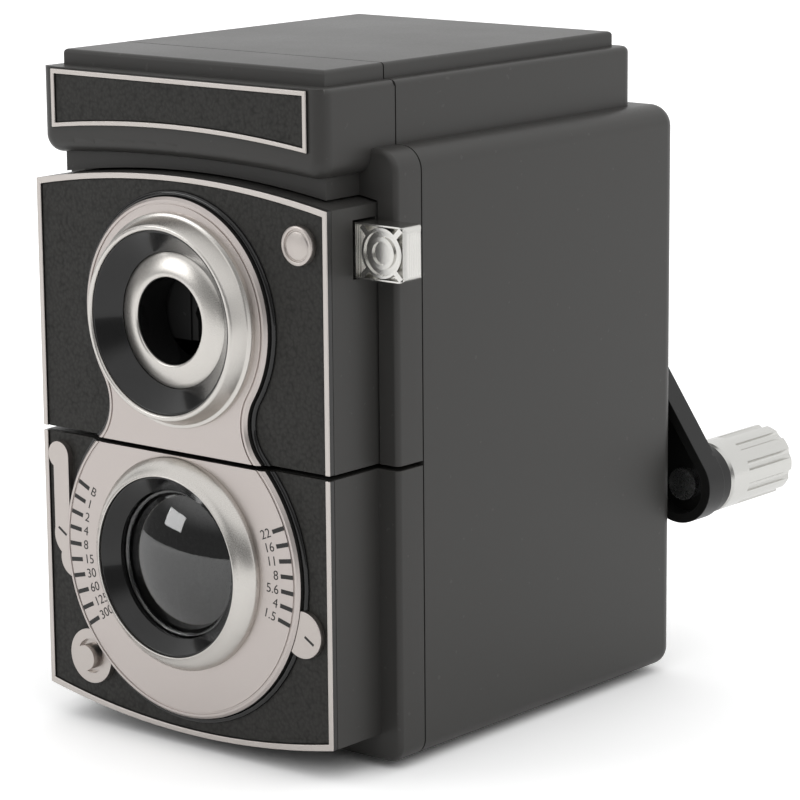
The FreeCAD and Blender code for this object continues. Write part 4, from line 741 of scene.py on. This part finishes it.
# Scales: printed black marks and plain numbers on the lower face plate, beside the ring.
# Both scales run round the lens, with each number inside its mark.
PRINT_THICKNESS = 0.04 * MM
MARK_LENGTH = 2.6 * MM
MARK_WIDTH = 0.72 * MM
MARK_RADIUS = 23.7 * MM
NUMBER_RADIUS = 21.9 * MM
NUMBER_HEIGHT = 2.2 * MM
SCALES = {
    "left_scale": (154.6, 6.52, ("B", "1", "2", "4", "8", "15", "30", "60", "125", "300")),
    "right_scale": (22.3, -6.2, ("22", "16", "11", "8", "5.6", "4", "1.5")),
}


def printed_black(name):
    """Screen-printed ink, slightly uneven in its cover."""
    finish = Finish(name)
    cover = finish.noise(0.3 * MM, 2.0)
    colour = finish.mix(cover, (0.010, 0.010, 0.010, 1), (0.028, 0.027, 0.026, 1))
    finish.feed("Base Color", colour)
    finish.feed("Roughness", 0.5 + cover * 0.2)
    return finish.material


def mark_tree():
    """Marks in a row round a centre: their count, first angle, step and sizes are inputs."""
    tree = bpy.data.node_groups.new("scale_marks", "GeometryNodeTree")
    tree.interface.new_socket("Geometry", in_out="OUTPUT", socket_type="NodeSocketGeometry")
    for name, kind in (
        ("Count", "Int"),
        ("First Angle", "Float"),
        ("Step", "Float"),
        ("Radius", "Float"),
        ("Mark", "Vector"),
        ("Centre", "Vector"),
        ("Ink", "Material"),
    ):
        tree.interface.new_socket(name, in_out="INPUT", socket_type=f"NodeSocket{kind}")
    given = tree.nodes.new("NodeGroupInput").outputs
    result = tree.nodes.new("NodeGroupOutput").inputs

    def add(kind, inputs, operation=None):
        made = tree.nodes.new(kind)
        if operation:
            made.operation = operation
        for name, value in inputs.items():
            if isinstance(value, bpy.types.NodeSocket):
                tree.links.new(value, made.inputs[name])
            else:
                made.inputs[name].default_value = value
        return made.outputs[0]

    index = add("GeometryNodeInputIndex", {})
    steps = {0: index, 1: given["Step"], 2: given["First Angle"]}
    angle = add("ShaderNodeMath", steps, "MULTIPLY_ADD")
    out = add("ShaderNodeMath", {0: angle}, "COSINE")
    up = add("ShaderNodeMath", {0: angle}, "SINE")
    away = add("ShaderNodeCombineXYZ", {"X": out, "Z": up})
    reach = {0: away, 1: given["Radius"], 2: given["Centre"]}
    place = add("ShaderNodeVectorMath", reach, "MULTIPLY_ADD")
    lean = add("ShaderNodeMath", {0: angle, 1: -1.0}, "MULTIPLY")
    lay = add("ShaderNodeCombineXYZ", {"Y": lean})
    points = add("GeometryNodePoints", {"Count": given["Count"], "Position": place})
    mark = add("GeometryNodeMeshCube", {"Size": given["Mark"]})
    spread = {"Points": points, "Instance": mark, "Rotation": lay}
    marks = add("GeometryNodeInstanceOnPoints", spread)
    solid = add("GeometryNodeRealizeInstances", {0: marks})
    inked = add("GeometryNodeSetMaterial", {"Geometry": solid, "Material": given["Ink"]})
    tree.links.new(inked, result[0])
    return tree


def plain_mesh(maker, name):
    """The evaluated mesh of an object as a new plain object; the maker goes."""
    view = bpy.context.evaluated_depsgraph_get()
    mesh = bpy.data.meshes.new_from_object(maker.evaluated_get(view), depsgraph=view)
    bpy.data.objects.remove(maker)
    return linked(name, mesh)


def printed_marks(name, tree, values):
    """Printed marks on the drawer, from the values of the tree's named inputs."""
    maker = linked(f"{name}_maker", bpy.data.meshes.new(f"{name}_maker"))
    modifier = maker.modifiers.new("marks", "NODES")
    modifier.node_group = tree
    for item in tree.interface.items_tree:
        if item.in_out == "INPUT":
            modifier[item.identifier] = values[item.name]
    marks = plain_mesh(maker, name)
    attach(marks, "drawer")


def number(text, centre, angle, outwards):
    """One printed number as a mesh at its place on the plate, in line with its mark."""
    curve = bpy.data.curves.new("number", "FONT")
    curve.body = text
    curve.size = NUMBER_HEIGHT
    curve.extrude = PRINT_THICKNESS / 2
    curve.align_x = "RIGHT" if outwards else "LEFT"
    curve.align_y = "CENTER"
    maker = linked("number", curve)
    bpy.context.view_layer.update()
    piece = plain_mesh(maker, "number")
    tilt = angle if outwards else angle - math.pi
    away = Vector((math.cos(angle), 0, math.sin(angle))) * NUMBER_RADIUS
    upright = Matrix.Rotation(math.radians(90), 4, "X")
    turn = Matrix.Rotation(-tilt, 4, "Y")
    piece.data.transform(Matrix.Translation(centre + away) @ turn @ upright)
    return piece


def joined(pieces, name):
    """Several meshes as one object."""
    work = bmesh.new()
    for piece in pieces:
        work.from_mesh(piece.data)
        bpy.data.objects.remove(piece)
    mesh = bpy.data.meshes.new(name)
    work.to_mesh(mesh)
    work.free()
    return linked(name, mesh)


ink = printed_black("scale_ink")
marks_tree = mark_tree()
dial_centre = middle_of("lower_lens_ring")
dial_centre.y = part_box("lower_lens_plate")[0].y
for scale, (first, step, numbers) in SCALES.items():
    values = {
        "Count": len(numbers),
        "First Angle": math.radians(first),
        "Step": math.radians(step),
        "Radius": MARK_RADIUS,
        "Mark": (MARK_LENGTH, PRINT_THICKNESS, MARK_WIDTH),
        "Centre": tuple(dial_centre),
        "Ink": ink,
    }
    printed_marks(f"{scale}_marks", marks_tree, values)
    labels = []
    for place, text in enumerate(numbers):
        angle = math.radians(first + place * step)
        labels.append(number(text, dial_centre, angle, scale == "right_scale"))
    printed = joined(labels, f"{scale}_numbers")
    printed.data.materials.append(ink)
    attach(printed, "drawer")

# Pointer lines: one short printed line on the speed lever and one on the aperture pointer.
# They are printed with the scales' ink, and each lies along its pointer.
LINE_LENGTH = 2.2 * MM
LINE_WIDTH = 0.42 * MM
POINTER_LINES = {
    "speed_lever": (-30.4, 33.05, -32.9),
    "aperture_pointer": (24.7, 23.4, -31.3),
}
for node, (across, up, angle) in POINTER_LINES.items():
    values = {
        "Count": 1,
        "First Angle": math.radians(angle),
        "Step": 0.0,
        "Radius": 0.0,
        "Mark": (LINE_LENGTH, PRINT_THICKNESS, LINE_WIDTH),
        "Centre": (across * MM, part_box(node)[0].y, up * MM),
        "Ink": ink,
    }
    printed_marks(f"{node}_line", marks_tree, values)

# Crank: the cutter's carrier of sintered metal with its steel pin, cutter and pinion, on a
# steel shaft that runs out at the back. The arm is moulded in black and fixed on the shaft,
# a cap closes its hub, and the pin of the knob is headed inside its hollow.
ARM_EDGE = 0.3 * MM
CAP_EDGE = 0.2 * MM
arm_black = satin_moulding("arm_black", (0.008, 0.008, 0.008), (0.012, 0.012, 0.0115), 0.34)
cutter_steel = turned_metal("cutter_steel", (0.52, 0.52, 0.54), 0.30)
coat(gear_metal, "cutter_carrier")
coat(steel, "cutter_pin", "crank_shaft", "knob_pin")
coat(cutter_steel, "helical_cutter", "cutter_pinion")
dress("crank_arm", arm_black, ARM_EDGE)
dress("hub_cap", arm_black, CAP_EDGE)

# Knob: the silver lacquered grip at the end of the arm.
# It is fluted over its outer part, and bored for the shouldered pin that it turns on.
KNOB_EDGE = 0.15 * MM
knob_silver = silver_lacquer("knob_silver", (0.68, 0.675, 0.65), 0.26)
dress("crank_knob", knob_silver, KNOB_EDGE)

# Stage: a white table that keeps the shadow. It ends short of the camera, out of its view.
# Light that it scatters back is held down, so that the front stays darker than the sides.
TABLE_REACH = 3.0
TABLE_FRONT = 0.75
VIEW_AZIMUTH = math.radians(39.848)


def grey(level):
    return (level, level, level, 1)


towards = Vector((math.sin(VIEW_AZIMUTH), -math.cos(VIEW_AZIMUTH), 0))
aside = Vector((math.cos(VIEW_AZIMUTH), math.sin(VIEW_AZIMUTH), 0)) * TABLE_REACH
near, far = towards * TABLE_FRONT, towards * -TABLE_REACH
corners = [near - aside, near + aside, far + aside, far - aside]
table_mesh = bpy.data.meshes.new("table")
table_mesh.from_pydata(corners, [], [(0, 1, 2, 3)])
table = linked("table", table_mesh)
paper = Finish("table_paper")
seen = paper.start.node("LightPath", output="Is Camera Ray")
fibres = paper.noise(0.4)
white = paper.mix(fibres, grey(0.965), grey(0.975))
held = paper.mix(seen.also("Is Diffuse Ray"), white, grey(0.5))
lifted = paper.mix(fibres, grey(1.17), grey(1.19))
matt = paper.start.node("BsdfDiffuse", {}, {"Color": paper.mix(seen, held, lifted)})
surface = paper.start.tree.nodes["Material Output"].inputs["Surface"]
paper.start.tree.links.new(matt.socket, surface)
table_mesh.materials.append(paper.material)

# Surround: white for the camera, and as bright over the top, sides and back.
# The room in front is dim up to a good height, and metal and glass mirror it.
# A small window in that room shows in the dome and the turned rings.
AMBIENT = 1.25
ROOM_LEVEL = 0.22
ROOM_EDGE = {"From Min": 0.1, "From Max": -0.4}
ROOM_TOP = {"From Min": 0.6, "From Max": 0.25}
WINDOW_PLACE = Vector((-0.66, -0.86, 0.36))
WINDOW_WIDTH = 0.38
WINDOW_HEIGHT = 0.22
WINDOW_POWER = 1.25
world = bpy.data.worlds.new("studio")
bpy.context.scene.world = world
world.use_nodes = True
sky = Signal(world.node_tree)
forward = sky.node("TexCoord", output="Generated").along("Y")
smooth = {"interpolation_type": "SMOOTHSTEP"}
front = sky.node("MapRange", smooth, {"Value": forward, **ROOM_EDGE})
low = sky.node("MapRange", smooth, {"Value": forward.also("Z"), **ROOM_TOP})
level = 1 - front * low * (1 - ROOM_LEVEL)
seen = sky.node("LightPath", output="Is Camera Ray")
strength = seen + (1 - seen) * level * (1 + seen.also("Is Diffuse Ray") * (AMBIENT - 1))
surround = sky.node("Background", {}, {"Color": grey(1), "Strength": strength})
backdrop = world.node_tree.nodes["World Output"].inputs["Surface"]
world.node_tree.links.new(surround.socket, backdrop)
lamp = bpy.data.lights.new("window", "AREA")
lamp.shape = "RECTANGLE"
lamp.size = WINDOW_WIDTH
lamp.size_y = WINDOW_HEIGHT
lamp.energy = WINDOW_POWER
window = linked("window", lamp)
window.location = WINDOW_PLACE
inwards = (cad_box[0] + cad_box[1]) / 2 - WINDOW_PLACE
window.rotation_euler = inwards.to_track_quat("-Z", "Y").to_euler()
window.visible_camera = False

# Camera: a long lens at the photograph's angle.
# Its place, tilt and focal length were worked out from the case's edges.
CAMERA_PLACE = Vector((370.344, -448.144, 171.841)) * MM
CAMERA_ELEVATION = math.radians(11.835)
CAMERA_ROLL = math.radians(-0.486)
FOCAL_PIXELS = 3400.3
PHOTO_WIDTH = 800
lens = bpy.data.cameras.new("camera")
lens.sensor_width = 36
lens.lens = FOCAL_PIXELS / PHOTO_WIDTH * lens.sensor_width
direction = towards * -math.cos(CAMERA_ELEVATION)
direction.z = -math.sin(CAMERA_ELEVATION)
aim = direction.to_track_quat("-Z", "Y").to_matrix() @ Matrix.Rotation(CAMERA_ROLL, 3, "Z")
camera = linked("camera", lens)
camera.matrix_world = Matrix.Translation(CAMERA_PLACE) @ aim.to_4x4()
bpy.context.scene.camera = camera
bpy.context.scene.view_settings.view_transform = "Standard"
